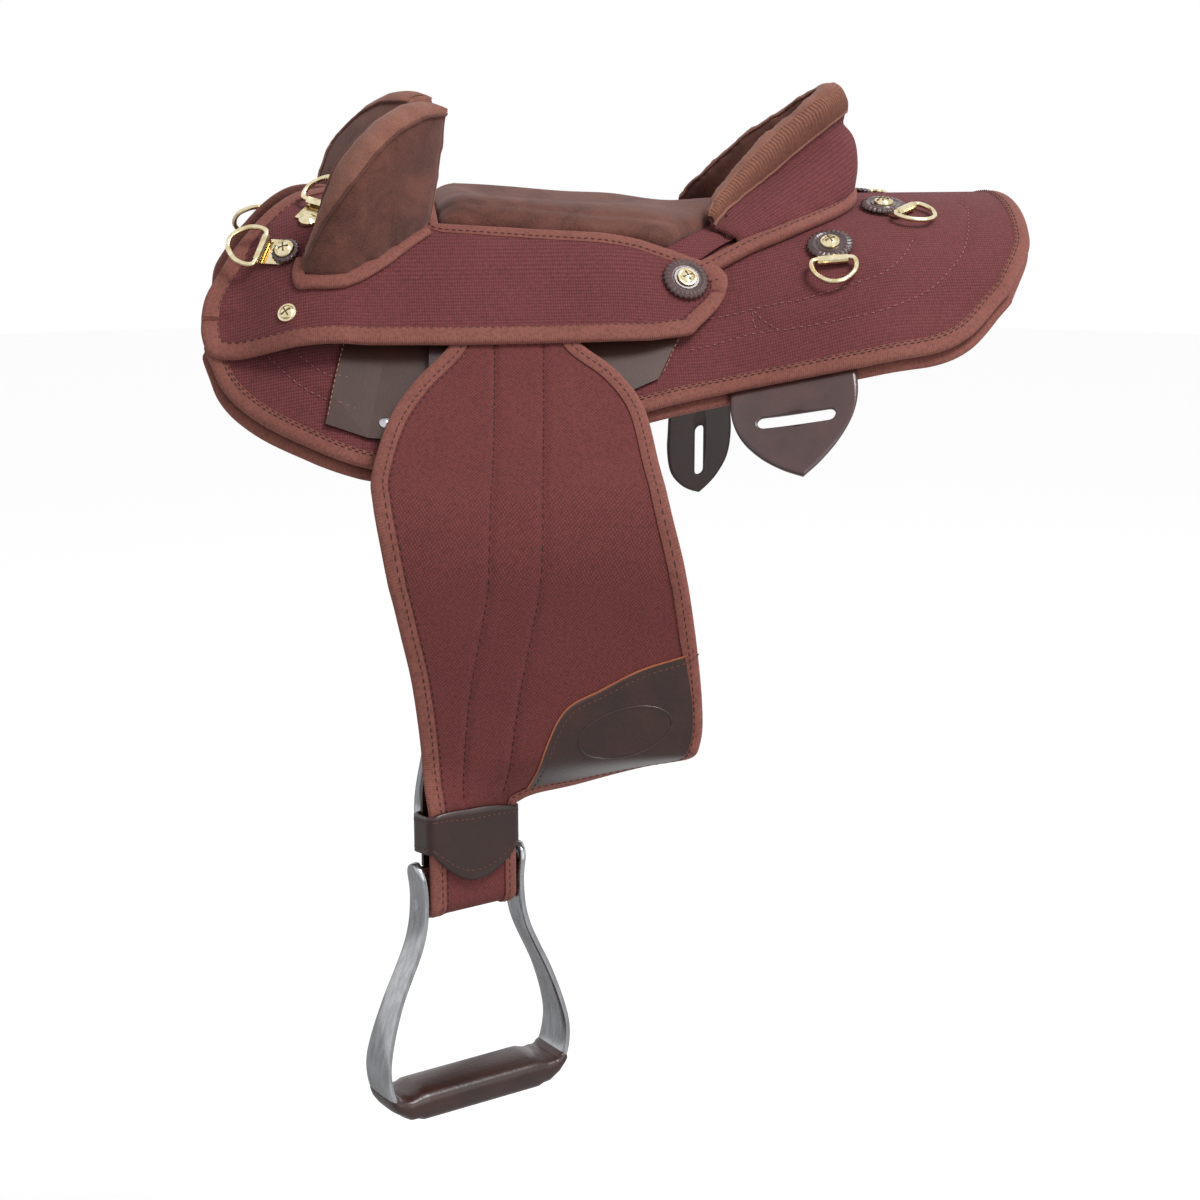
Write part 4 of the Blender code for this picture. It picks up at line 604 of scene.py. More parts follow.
def stuffed(name, rings, material, body, cap, replaces, base_height, voxel=0.005):
    """A padded form: remeshed, blown up as cloth for 20 frames, and held to a cap and to its base.

    The remesh leaves steps, so each point goes back to the loft it came from and then stands off
    it by the amount that the cloth swelled there."""
    form = loft(rings)
    form_skin = BVHTree.FromBMesh(form)
    piece = file_piece(name, form, material, body, 80.0, replaces)
    scene = bpy.context.scene
    even = piece.modifiers.new("even", "REMESH")
    even.mode = "VOXEL"
    even.voxel_size = voxel
    piece.data = bpy.data.meshes.new_from_object(piece.evaluated_get(bpy.context.evaluated_depsgraph_get()))
    piece.modifiers.clear()
    start = np.array([vert.co for vert in piece.data.vertices])
    swell = np.zeros(len(start))
    cloth = piece.modifiers.new("cloth", "CLOTH")
    cloth.settings.use_pressure = True
    cloth.settings.uniform_pressure_force = PUFF_PRESSURE
    cloth.settings.effector_weights.gravity = 0.0
    for step in range(1, PUFF_FRAMES + 1):
        scene.frame_set(step)
    blown = piece.evaluated_get(bpy.context.evaluated_depsgraph_get()).to_mesh()
    moved = np.array([vert.co for vert in blown.vertices]) - start
    piece.modifiers.clear()
    scene.frame_set(1)
    held = np.array([min(max((p[2] - base_height(*p)) / HOLD_HEIGHT, 0.0), 1.0) for p in start])
    swell = np.minimum(np.linalg.norm(moved, axis=1), cap) * held
    print(name, "puffed by up to", round(float(swell.max()) * 1000, 1), "mm")
    pairs = np.array([edge.vertices for edge in piece.data.edges])
    links = np.bincount(pairs.ravel(), minlength=len(start))
    for _ in range(12):
        total = np.zeros(len(start))
        np.add.at(total, pairs[:, 0], swell[pairs[:, 1]])
        np.add.at(total, pairs[:, 1], swell[pairs[:, 0]])
        swell = 0.5 * swell + 0.5 * total / links
    bm = bmesh.new()
    bm.from_mesh(piece.data)
    smoothing = {"factor": 0.5, "use_axis_x": True, "use_axis_y": True, "use_axis_z": True}
    for _ in range(3):
        bmesh.ops.smooth_vert(bm, verts=bm.verts, **smoothing)
    for vert, amount in zip(bm.verts, swell):
        spot, normal, _, _ = form_skin.find_nearest(vert.co)
        vert.co = spot + normal * amount
    for _ in range(2):
        bmesh.ops.smooth_vert(bm, verts=bm.verts, **smoothing)
    bmesh.ops.recalc_face_normals(bm, faces=bm.faces)
    bm.to_mesh(piece.data)
    bm.free()
    piece.data.materials.clear()
    piece.data.materials.append(material)
    for polygon in piece.data.polygons:
        polygon.use_smooth = True
    finer = piece.modifiers.new("finer", "SUBSURF")
    finer.levels = finer.render_levels = 1
    return piece


# %% [markdown]
# ## Skirts, panels and rigging plates
# The skirt is a firm sheet of foam covered in cordura, bound with tape and quilted with curved
# rows of stitches. Under it lies the panel, a thick wool pile whose tufts peep out below. The
# skirt is laid from its four edge curves; the pile is remeshed and roughened with a cloud texture.

# %% Edge curves of the skirt and panel
SADDLE_FRONT, SADDLE_REAR, SKIRT_DROP = -0.315, 0.360, 0.278
FRONT_EDGE = [(0.163, 0.0), (0.118, 0.137), (0.058, 0.277), (0.018, 0.414), (0.004, 0.560)]
LOWER_EDGE = [(0.004, 0.560), (0.031, 0.716), (0.098, 0.874), (0.187, 0.985), (0.330, 0.960),
              (0.499, 0.831), (0.618, 0.777), (0.776, 0.802), (0.873, 0.759), (0.944, 0.600)]
REAR_EDGE = [(1.0, 0.0), (0.998, 0.20), (0.991, 0.352), (0.980, 0.450), (0.944, 0.600)]


def skirt_edges(margin):
    def place(points):
        placed = []
        for a, b in points:
            grow = smooth(0.35, 0.75, b)
            s = max(b * SKIRT_DROP + margin * grow, 0.0008)
            x = SADDLE_FRONT + a * (SADDLE_REAR - SADDLE_FRONT)
            placed.append((x + margin * 0.6 * (2.0 * a - 1.0) * grow, s))
        return placed
    return [curve_through(place(edge), 240) for edge in (FRONT_EDGE, LOWER_EDGE, REAR_EDGE)]


def skirt_outline(margin):
    """The whole free edge from the front round to the rear, for its tape."""
    front, lower, rear = skirt_edges(margin)
    return curve_through(np.concatenate([front, lower[1:], rear[::-1][1:]])[::6], 420)


def side_pattern(margin):
    front, lower, rear = skirt_edges(margin)
    return coons(np.linspace(front[0], rear[0], 60), lower, front, rear)


def on_side(side):
    """The form on one side, for patterns drawn with s always positive."""
    return lambda x, s, height: on_form(x, side * max(s, 0.00001), height)


# Rows in metres on the pattern: two arcs behind, two in front, and the seams beside the plate.
REAR_ARCS = [[(0.256, 0.109), (0.241, 0.132), (0.217, 0.149), (0.165, 0.153), (0.127, 0.149),
              (0.078, 0.151)],
             [(0.312, 0.040), (0.314, 0.062), (0.297, 0.118), (0.276, 0.148), (0.252, 0.169),
              (0.215, 0.182), (0.173, 0.180), (0.147, 0.176), (0.112, 0.171), (0.060, 0.179)]]
CROSS_SEAM = [[(0.119, 0.150), (0.127, 0.163), (0.139, 0.176)],
              [(0.119, 0.150), (0.118, 0.160), (0.121, 0.172)]]
FRONT_ARCS = [[(-0.265, 0.169), (-0.240, 0.201), (-0.214, 0.220), (-0.180, 0.233)],
              [(-0.241, 0.174), (-0.217, 0.196), (-0.186, 0.201), (-0.156, 0.204)]]
PLATE_SEAMS = [[(-0.200, 0.150), (-0.2115, 0.195), (-0.2205, 0.238)],
               [(0.073, 0.145), (0.056, 0.172), (0.041, 0.203)]]


def on_plate(x, s):
    front = np.interp(s, [0.134, 0.240], [-0.198, -0.2215])
    rear = np.interp(s, [0.134, 0.205], [0.075, 0.038])
    return front < x < rear and s > 0.134


def quilted_top(x, s):
    return RIGGING_TOP + bend_ease(x) if on_plate(x, s) else SKIRT_TOP


# %% Lay the skirts and panels
TAPE_WIDTH = 0.0115
PANEL_MARGIN = 0.0055
skirt_press = pressed(REAR_ARCS + FRONT_ARCS + CROSS_SEAM, 0.0011, 0.0034)
for name, side in SIDES.items():
    surface = on_side(side)
    cloth_piece(name + "_skirt_cloth", [(190, 80, side_pattern(0.0))], surface,
                lambda x, s: SKIRT_TOP - skirt_press(x, s), 0.0052, cordura, "saddle",
                (name + "_skirt",))
    edge = skirt_outline(0.0)
    binding(name + "_skirt_binding", edge, -1, surface, level(SKIRT_LOW), level(SKIRT_TOP),
            TAPE_WIDTH, "saddle")
    stitches(name + "_skirt_edge_stitches",
             [(offset_path(edge, -TAPE_WIDTH * 0.72), level(SKIRT_TOP + 0.0011)),
              (offset_path(edge, -TAPE_WIDTH * 0.90), level(SKIRT_TOP + 0.0008))],
             surface, "saddle", dark_thread, 0.0056, 0.0036, 0.00045)
    stitches(name + "_quilting", [(curve_through(path, 60), quilted_top)
                                  for path in REAR_ARCS + FRONT_ARCS + CROSS_SEAM],
             surface, "saddle", plum_thread, 0.0062, 0.0036, 0.0005, -0.0004)
    stitches(name + "_plate_stitches", [(curve_through(path, 30), lambda x, s: RIGGING_TOP + bend_ease(x))
                                        for path in PLATE_SEAMS], surface, "saddle", pale_thread, 0.0048,
                                        0.0034, 0.0005)
    edge = skirt_outline(PANEL_MARGIN)
    binding(name + "_panel_binding", edge, -1, surface, level(PANEL_TOP - 0.005), level(PANEL_TOP),
            0.010, "saddle", proud=0.0006)
    wool = cloth_piece(name + "_panel_wool", [(150, 62, side_pattern(0.0030))], surface,
                       level(PANEL_TOP - 0.0008), 0.0105, fleece, "saddle",
                       (name + "_panel",))
    even = wool.modifiers.new("even", "REMESH")
    even.mode = "VOXEL"
    even.voxel_size = 0.0042
    tufts = wool.modifiers.new("tufts", "DISPLACE")
    tufts.texture = bpy.data.textures.get("wool") or bpy.data.textures.new("wool", "CLOUDS")
    tufts.texture.noise_scale = 0.008
    tufts.strength = 0.0035
    tufts.mid_level = 0.75
    dress(name + "_rigging_plate", plate_leather)

# %% [markdown]
# ## Jockey
# The jockey is the cover that lies over the tree and the tops of the fenders, one sheet across
# the pommel with a wing down each side of the seat. It is laid as four grids that share edges, so
# that the cloth runs unbroken over the withers, and its tape goes round all of it in one piece.

# %% Jockey pattern
def seat_seam(x):
    return float(np.interp(x, [POMMEL_REAR, -0.053, 0.0, 0.033, 0.060, 0.085],
                           [0.078, 0.085, 0.089, 0.093, 0.100, 0.108]))


JOCKEY_FRONT = [(-0.205, 0.0), (-0.244, 0.038), (-0.288, 0.077), (-0.311, 0.115), (-0.314, 0.146)]
JOCKEY_LOWER = [(-0.314, 0.146), (-0.302, 0.166), (-0.239, 0.175), (POMMEL_REAR, 0.178)]
WING_LOWER = [(POMMEL_REAR, 0.178), (-0.053, 0.178), (0.024, 0.176), (0.066, 0.168)]
WING_REAR = [(0.085, 0.108), (0.099, 0.118), (0.093, 0.140), (0.066, 0.168)]
seam_s = seat_seam(POMMEL_REAR)
column = [(POMMEL_REAR, seam_s * j / 5) for j in range(5)]
column += [(POMMEL_REAR, mix(seam_s, 0.178, j / 7)) for j in range(8)]
column = np.array(column)
pommel = coons(np.linspace((-0.205, 0.0), column[0], 20), curve_through(JOCKEY_LOWER, 80),
               curve_through(JOCKEY_FRONT, 80), column)
wing_top = np.array([(x, seat_seam(x)) for x in np.linspace(POMMEL_REAR, 0.085, 60)])
wing = coons(wing_top, curve_through(WING_LOWER, 80), column[5:], curve_through(WING_REAR, 80))


def signed(plan, side):
    def place(u, v):
        x, s = plan(u, v)
        return x, side * s
    return place


grids = [(columns, rows, signed(plan, side)) for side in (1, -1)
         for columns, rows, plan in ((50, 60, pommel), (58, 35, wing))]
cloth_piece("jockey_cloth", grids, on_form, jockey_top, JOCKEY_THICKNESS, cordura, "saddle",
            ("jockey",))

# %% Jockey tape and stitches
near_edge = np.concatenate([curve_through(WING_REAR, 40), curve_through(WING_LOWER, 60)[::-1][1:],
                            curve_through(JOCKEY_LOWER, 60)[::-1][1:],
                            curve_through(JOCKEY_FRONT, 60)[::-1][1:]])
jockey_edge = np.concatenate([near_edge * (1, -1), near_edge[::-1][1:]])
jockey_edge = curve_through(jockey_edge[::5], 560)
JOCKEY_TAPE = 0.0125
binding("jockey_binding", jockey_edge, -1, on_form, jockey_low, jockey_top, JOCKEY_TAPE, "saddle",
        proud=0.0013)
stitches("jockey_stitches", [(offset_path(jockey_edge, -JOCKEY_TAPE * 0.93),
                              lambda x, s: jockey_top(x, s) + 0.0008)],
         on_form, "saddle", dark_thread, 0.0060, 0.0040, 0.0004)

# %% [markdown]
# ## Seat, knee pads and cantle
# These three are stuffed suede. On the real saddle felt and foam are pulled tight under the hide,
# so each starts as a plain loft and is then blown up as cloth, which rounds it the way stuffing
# does. The gusset, piping and tapes are laid on the finished skin by looking for its nearest point.

# %% Helpers for work on a stuffed skin
SOFT_GAP = 0.0006


def clear_of(height, x, s):
    return max(height(x + dx, s + ds) for dx in (-0.014, 0.0, 0.014) for ds in (-0.010, 0.0, 0.010))


def layer_below(layer, sink=0.0):
    """Height of a layer under a point in space, from a table over the form."""
    xs = np.linspace(-0.320, 0.300, 125)
    rows = []
    for x in xs:
        points = [on_form(x, s, layer(x, s) - sink) for s in np.linspace(0.0, 0.25, 84)]
        rows.append(([p.y for p in points], [p.z for p in points]))

    def height(x, y, z):
        row = rows[min(max(round((x + 0.320) / 0.005), 0), 124)]
        return float(np.interp(abs(y), *row))
    return height


def skin_of(piece):
    return BVHTree.FromObject(piece, bpy.context.evaluated_depsgraph_get())


def between_rings(rings, first, last):
    """Points of a loft: u runs over its sections, v from one point of the section to another."""
    table = np.array([[tuple(p) for p in ring] for ring in rings])

    def place(u, v):
        a = min(max(u, 0.0), 1.0) * (len(rings) - 1)
        b = mix(first, last, min(max(v, 0.0), 1.0))
        i, j = min(int(a), len(rings) - 2), min(int(b), table.shape[1] - 2)
        row = mix(table[i], table[i + 1], a - i)
        return Vector(mix(row[j], row[j + 1], b - j))
    return place


def on_skin(skin, place):
    """The surface function of a strip laid on a skin; its pattern runs 0 to 1 both ways."""
    def surface(u, v, height):
        spot, normal, _, _ = skin.find_nearest(place(u, v))
        return spot + normal * height
    return surface


def strip(name, skin, place, grid, size, top, thickness, material, body):
    """A strip of cloth on a skin; size is its flat length and width in metres."""
    surface = on_skin(skin, place)
    bm = bmesh.new()
    lay_grid(bm, *grid, lambda u, v: (u, v), lambda u, v: surface(u, v, top), size)
    face_out(bm, surface, (0.5, 0.5, top))
    return thicken(file_piece(name, bm, material, body), thickness)


def tube(name, points, radius, sides, material, body, closed=False, replaces=()):
    """A round rod or cord through points; it keeps its sections from twisting."""
    points = [Vector(p) for p in points]
    count = len(points)
    rings = []
    across = None
    for k, point in enumerate(points):
        before = points[(k - 1) % count] if closed or k else point
        after = points[(k + 1) % count] if closed or k < count - 1 else point
        along = (after - before).normalized()
        if across is None:
            across = along.orthogonal().normalized()
        across = (across - along * across.dot(along)).normalized()
        up = along.cross(across)
        rings.append([point + radius * (math.cos(a) * across + math.sin(a) * up)
                      for a in (2 * math.pi * n / sides for n in range(sides))])
    if closed:
        first = np.array([tuple(p) for p in rings[0]])
        last = np.array([tuple(p) for p in rings[-1]])
        turn = min(range(sides), key=lambda n: np.abs(np.roll(first, -n, axis=0) - last).sum())
        rings.append(rings[0][turn:] + rings[0][:turn])
    return file_piece(name, loft(rings, not closed), material, body, 60.0, replaces)


def crease(piece, points, depth, width):
    """Pull a stitched line of a stuffed piece inward."""
    tree = KDTree(len(points))
    for k, point in enumerate(points):
        tree.insert(point, k)
    tree.balance()
    for vert in piece.data.vertices:
        distance = tree.find(vert.co)[2]
        vert.co -= vert.normal * depth * math.exp(-(distance / width) ** 2)


# %% Seat
SEAT_PADDING = 0.006
SEAT_ROLL = 0.006
SEAT_REAR_EDGE = np.array([(0.131, 0.0), (0.127, 0.022), (0.117, 0.043), (0.098, 0.058), (0.079, 0.072),
                           (0.054, 0.095)])


def seat_height(x, s):
    """Top of the seat: a low middle, a rounded roll along each side and a lower edge."""
    front = POMMEL_REAR + 0.001
    v = min(abs(s) / seat_seam(min(max(x, front), 0.062)), 1.0)
    roll = SEAT_ROLL * math.exp(-((v - 0.76) / 0.20) ** 2) * (1.0 - 0.55 * smooth(0.045, 0.110, x))
    edge = 1.0 - 0.62 * smooth(0.84, 1.0, v)
    start = smooth(front - 0.004, front + 0.020, x) * (1.0 - 0.45 * smooth(0.085, 0.128, x))
    settle = 1.0 - 0.65 * smooth(-0.110, 0.020, x)
    return clear_of(tree_top, x, s) + SOFT_GAP + 0.0025 + (SEAT_PADDING + roll) * settle * start * edge


def seat_spot(u, v):
    """Flat place of the seat: u from front to rear, v from the middle to one edge, signed."""
    front = POMMEL_REAR + 0.001
    lane = np.linspace(0.0, 1.0, len(SEAT_REAR_EDGE))
    x = mix(front, float(np.interp(abs(v), lane, SEAT_REAR_EDGE[:, 0])), u)
    s = mix(abs(v) * (seat_seam(front) - 0.0015), float(np.interp(abs(v), lane, SEAT_REAR_EDGE[:, 1])), u)
    return x, math.copysign(min(s, seat_seam(x) - 0.0015), v)


SEAT_SINK = 0.004
lanes = np.linspace(-1.0, 1.0, 41)
seat_rings = []
for u in np.linspace(0.0, 1.0, 40):
    spots = [seat_spot(u, v) for v in lanes]
    low = [on_form(x, s, tree_top(x, s) - SEAT_SINK) for x, s in spots]
    high = [on_form(x, s, seat_height(x, s)) for x, s in spots]
    seat_rings.append(low + high[::-1])
seat = stuffed("seat_cushion", seat_rings, suede, "saddle", 0.003, ("seat",),
               layer_below(tree_top, SEAT_SINK), 0.004)
for side in (-1, 1):
    lane = [seat_spot(u, side * 0.86) for u in np.linspace(0.0, 0.93, 120)]
    crease(seat, [on_form(x, s, seat_height(x, s)) for x, s in lane], 0.0022, 0.0035)

# %% Tape between seat and jockey
inner_edge = [(x, -seat_seam(x)) for x in np.linspace(0.085, POMMEL_REAR, 60)]
inner_edge += [(POMMEL_REAR, s)
               for s in np.linspace(-seat_seam(POMMEL_REAR), seat_seam(POMMEL_REAR), 40)[1:-1]]
inner_edge += [(x, seat_seam(x)) for x in np.linspace(POMMEL_REAR, 0.085, 60)]
binding("seat_tape", inner_edge, 1, on_form, lambda x, s: jockey_low(x, s) - 0.001, jockey_top, 0.0090,
        "saddle", proud=0.0010)
stitches("seat_tape_stitches", [(offset_path(inner_edge, 0.0070), lambda x, s: jockey_top(x, s) + 0.0012)],
         on_form, "saddle", dark_thread, 0.0055, 0.0036, 0.0004)

# %% Cantle
CANTLE_RIM_LINE = [(0.00, 0.2175, 0.000, 0.1142), (0.10, 0.2150, 0.010, 0.1125),
                   (0.25, 0.1990, 0.022, 0.1030), (0.45, 0.1630, 0.037, 0.0780),
                   (0.66, 0.1300, 0.053, 0.0500), (0.85, 0.1040, 0.071, 0.0260),
                   (1.00, 0.0920, 0.085, 0.0110)]
CANTLE_RIM = 0.020
CANTLE_BAND = 0.028


def cantle_back(t):
    """Where the cantle's back meets the tree, on the flat pattern."""
    side = -1.0 if t < 0 else 1.0
    return 0.102 + 0.122 * (1.0 - abs(t) ** 2.4), side * 0.103 * abs(t) ** 0.6


def cantle_ring(t):
    """Section of the cantle at t, from -1 (near horn) through 0 (the top) to 1 (far horn)."""
    side = -1.0 if t < 0 else 1.0
    across = abs(t)
    c = 1.0 - across ** 1.8
    foot_x, foot_s = 0.084 + 0.050 * (1.0 - across ** 2), side * 0.079 * across ** 0.8
    back_x, back_s = cantle_back(t)
    ring = []
    for k in range(5):
        x, s = mix(foot_x, back_x, k / 4), mix(foot_s, back_s, k / 4)
        ring.append(on_form(x, s, tree_top(x, s) + SOFT_GAP + 0.0004))
    foot, back = ring[0], ring[-1]
    rim_x, rim_half, rim_z = (np.interp(across, *zip(*[(row[0], row[k]) for row in CANTLE_RIM_LINE]))
                              for k in (1, 2, 3))
    rim = Vector((rim_x, side * rim_half, max(rim_z, back.z + 0.010)))
    outward = Vector((back.x - foot.x, back.y - foot.y, 0.0)).normalized()
    inner = rim - outward * CANTLE_RIM * (1.0 - 0.6 * across ** 3)
    scale = smooth(0.0, 0.060, rim.z - back.z)
    ring.append(mix(back, rim, 0.25) + outward * 0.005 * c)
    ring.append(mix(back, rim, 0.52) + outward * 0.006 * c)
    for drop, out in ((1.0, -0.0008), (0.55, 0.0034), (0.18, 0.0026)):
        ring.append(rim - Vector((0, 0, CANTLE_BAND * drop * scale)) + outward * out)
    ring.append(rim + outward * 0.0006)
    ring.append(mix(rim, inner, 0.5) + Vector((0, 0, 0.0055 * scale)))
    ring.append(inner - Vector((0, 0, 0.001)))
    ring.append(inner + outward * 0.0035 - Vector((0, 0, 0.007 * scale)))
    for share, drop, out in ((0.30, 0.012, 0.003), (0.58, 0.016, 0.003), (0.82, 0.011, 0.002)):
        ring.append(mix(inner, foot, share) - Vector((0, 0, drop * c)) + outward * out)
    return ring


cantle_rings = [cantle_ring(t) for t in np.linspace(-0.95, 0.95, 57)]
cantle = stuffed("cantle_roll", cantle_rings, suede, "saddle", 0.003, ("cantle_cover",),
                 layer_below(tree_top), 0.005)
cantle_skin = skin_of(cantle)
CANTLE_SPAN = 0.33
strip("cantle_back_cloth", cantle_skin, between_rings(cantle_rings, 4.1, 8.15), (90, 22),
      (CANTLE_SPAN, 0.070), 0.0010, 0.0012, cordura, "saddle")
strip("cantle_ribbed_band", cantle_skin, between_rings(cantle_rings, 7.95, 10.5), (180, 16),
      (CANTLE_SPAN, 0.028), 0.0026, 0.0026, ribbed, "saddle")
strip("cantle_edge_strip", cantle_skin, between_rings(cantle_rings, 10.5, 11.9), (90, 6),
      (CANTLE_SPAN, 0.009), 0.0020, 0.0020, suede_light, "saddle")


def cantle_foot(t):
    """The foot line of the cantle's back with room for its tape."""
    x, s = cantle_back(t)
    return x + 0.002, s + math.copysign(0.002, t) * min(abs(t) / 0.1, 1.0)


TAPE_HORN = (0.080, 0.1165)
foot_path = [(TAPE_HORN[0], -TAPE_HORN[1]), *map(cantle_foot, np.linspace(-0.93, 0.93, 25)), TAPE_HORN]
foot_path = curve_through(foot_path, 260)
binding("cantle_foot_tape", foot_path, 1, on_form, lambda x, s: tree_top(x, s) - 0.002,
        lambda x, s: tree_top(x, s) + 0.0050, 0.0095, "saddle", proud=0.0014)
stitches("cantle_foot_stitches", [(offset_path(foot_path, 0.0048), lambda x, s: tree_top(x, s) + 0.0066)],
         on_form, "saddle", dark_thread, 0.0055, 0.0036, 0.0004)

# A thin cordura cover closes the wedge of bare tree between jockey, seat and cantle.
for name, side in SIDES.items():
    tree_edge = curve_through([(0.050, 0.1205), (0.058, 0.1180), (0.082, 0.1020), (0.112, 0.0850),
                               (0.190, 0.0535)], 60)
    inner = curve_through([(0.050, 0.0820), (0.090, 0.0600), (0.190, 0.0300)], 60)
    cloth_piece(name + "_wedge_cloth", [(50, 20, lambda u, v: mix(at(inner, u), at(tree_edge, u), v))],
                on_side(side), lambda x, s: tree_top(x, s) + 0.0011, 0.0010, cordura, "saddle")
for label, place in (("upper", 10.5), ("lower", 7.95)):
    edge = between_rings(cantle_rings, place, place + 0.01)
    surface = on_skin(cantle_skin, edge)
    tube("cantle_" + label + "_piping", [surface(u, 0.5, 0.0016) for u in np.linspace(0.0, 1.0, 110)],
         0.0015, 8, suede_light, "saddle")

# %% Knee pads
PAD_HEIGHT = 0.110
PAD_THICKNESS = 0.042
PAD_EDGE = 0.017
PAD_LEAN = 0.015
PAD_TURN = 0.022
PAD_EASE = 0.0002


def pad_foot_s(t):
    return float(np.interp(t, [0.0, 0.10, 0.30, 0.65, 1.0], [0.122, 0.127, 0.128, 0.111, 0.087]))


def pad_section(t, side):
    """Section of a knee pad at t from 0 (front lower end) to 1 (rear edge)."""
    base_x = mix(-0.237, -0.134, t)
    base_s = pad_foot_s(t)
    top_z = float(np.interp(t, [0.0, 0.12, 0.28, 0.45, 0.62, 0.80, 1.0],
                            [-0.006, 0.028, 0.058, 0.082, 0.098, 0.108, PAD_HEIGHT]))
    thick = mix(PAD_EDGE, PAD_THICKNESS, smooth(0.0, 0.6, t))
    ease = SOFT_GAP + PAD_EASE * (2.0 - smooth(0.0, 0.3, t))
    lead = PAD_TURN * smooth(0.05, 0.40, t)

    def foot(u):
        x, s = base_x - 0.5 * lead * u, base_s - thick * u
        return on_form(x, s, clear_of(jockey_top, x, s) + ease)

    inner, middle, outer = foot(1.0), foot(0.5), foot(0.0)
    top_z = max(top_z, inner.z + 0.010)
    height = top_z - outer.z
    top_x = base_x + 0.004 + 0.007 * t + 0.35 * lead * (1.0 - 0.5 * t)
    inner_x = top_x - lead
    crown_y = outer.y + PAD_LEAN * height / PAD_HEIGHT - 0.004
    mid_outer_y = mix(outer.y, crown_y, 0.4) - 0.007 * smooth(0.1, 0.6, t)
    mid_inner_y = mix(inner.y, crown_y - PAD_EDGE, 0.5) - 0.005
    points = [inner, middle, outer,
              Vector((base_x, outer.y - 0.0015, outer.z + 0.10 * height)),
              Vector((mix(base_x, top_x, 0.45), mid_outer_y, outer.z + 0.48 * height)),
              Vector((top_x, crown_y - 0.0022, top_z - 0.010)),
              Vector((top_x, crown_y, top_z - 0.004)),
              Vector(((top_x + inner_x) / 2, crown_y - PAD_EDGE / 2, top_z)),
              Vector((inner_x, crown_y - PAD_EDGE, top_z - 0.004)),
              Vector((inner_x, crown_y - PAD_EDGE + 0.0020, top_z - 0.009)),
              Vector((mix(inner.x, inner_x, 0.5), mid_inner_y, mix(inner.z, top_z, 0.5)))]
    return [Vector((p.x, side * p.y, p.z)) for p in points]


for name, side in SIDES.items():
    pad_rings = [pad_section(t, side) for t in np.linspace(0.0, 1.0, 40)]
    pad = stuffed(name + "_knee_pad_cushion", pad_rings, suede, "saddle", 0.004,
                  (name + "_knee_pad",), layer_below(jockey_top), 0.005)
    pad_skin = skin_of(pad)
    strip(name + "_pad_gusset", pad_skin, between_rings(pad_rings, 5.2, 8.8), (70, 10), (0.17, 0.017),
          0.0012, 0.0014, suede_light, "saddle")
    rear = pad_rings[-1]
    outer_side, inner_side = [rear[k] for k in (2, 3, 4, 5, 6)], [rear[k] for k in (0, 10, 10, 9, 8)]
    rear_face = between_rings([outer_side, [mix(a, b, 0.5) for a, b in zip(outer_side, inner_side)],
                               inner_side], 0, 4)
    strip(name + "_pad_rear_gusset", pad_skin, rear_face, (10, 40), (0.03, 0.11), 0.0012, 0.0014,
          suede_light, "saddle")
    for label, place in (("outer", 5.2), ("inner", 8.8)):
        surface = on_skin(pad_skin, between_rings(pad_rings, place, place + 0.01))
        tube(name + "_pad_" + label + "_piping",
             [surface(u, 0.5, 0.0010) for u in np.linspace(0.0, 1.0, 90)], 0.0014, 8, suede, "saddle")
    foot = [(-0.2395, side * 0.106), (-0.2425, side * 0.116), (-0.2390, side * 0.1265)]
    foot += [(mix(-0.237, -0.134, t), side * (pad_foot_s(t) + 0.0022)) for t in np.linspace(0.08, 1.0, 12)]
    binding(name + "_pad_foot_tape", curve_through(foot, 150), -side, on_form, jockey_top,
            lambda x, s: jockey_top(x, s) + 0.0042, 0.0085, "saddle", proud=0.0010)

# %% [markdown]
# ## Rear flaps and tree
# The near flap is a plain strap of glossy leather with a sideways slot, and the far one has an
# upright slit that keeps the free strap end. Their outlines are round, so the grid is wrapped
# round the slot, with one ring of points on the slot's edge and one on the flap's edge.

# %% Rear flaps
FLAP_CENTRE = 0.143
KEEPER_BEND_S = 0.232
KEEPER_BEND_LENGTH = 0.030


def below_skirt(x, s, height):
    """The far flap lies on the form down to its bend and then hangs straight down."""
    bend = min(s, KEEPER_BEND_S)
    base = on_form(x, bend, 0.0)
    start = form_at(x, bend)[0]
    radius = KEEPER_BEND_LENGTH / (math.pi / 2 - start)
    angle = start + min(max(s - KEEPER_BEND_S, 0.0), KEEPER_BEND_LENGTH) / radius
    base.y += radius * (math.sin(angle) - math.sin(start)) + height * math.sin(angle)
    base.z -= radius * (math.cos(start) - math.cos(angle)) - height * math.cos(angle)
    base.z -= max(s - KEEPER_BEND_S - KEEPER_BEND_LENGTH, 0.0)
    return base


def pointed(half):
    """Close an outline from its right half, listed from the top down to its sharp tip."""
    right = curve_through(half, 60)
    return np.concatenate([right, right[::-1][1:] * (-1, 1)])


def stadium(half_length, half_width):
    """Outline of a slot that lies along X, with round ends."""
    ends = [(side, a) for side in (1, -1) for a in np.linspace(-math.pi / 2, math.pi / 2, 12)]
    return np.array([(side * (half_length - half_width + half_width * math.cos(a)),
                      side * half_width * math.sin(a))
                     for side, a in ends])


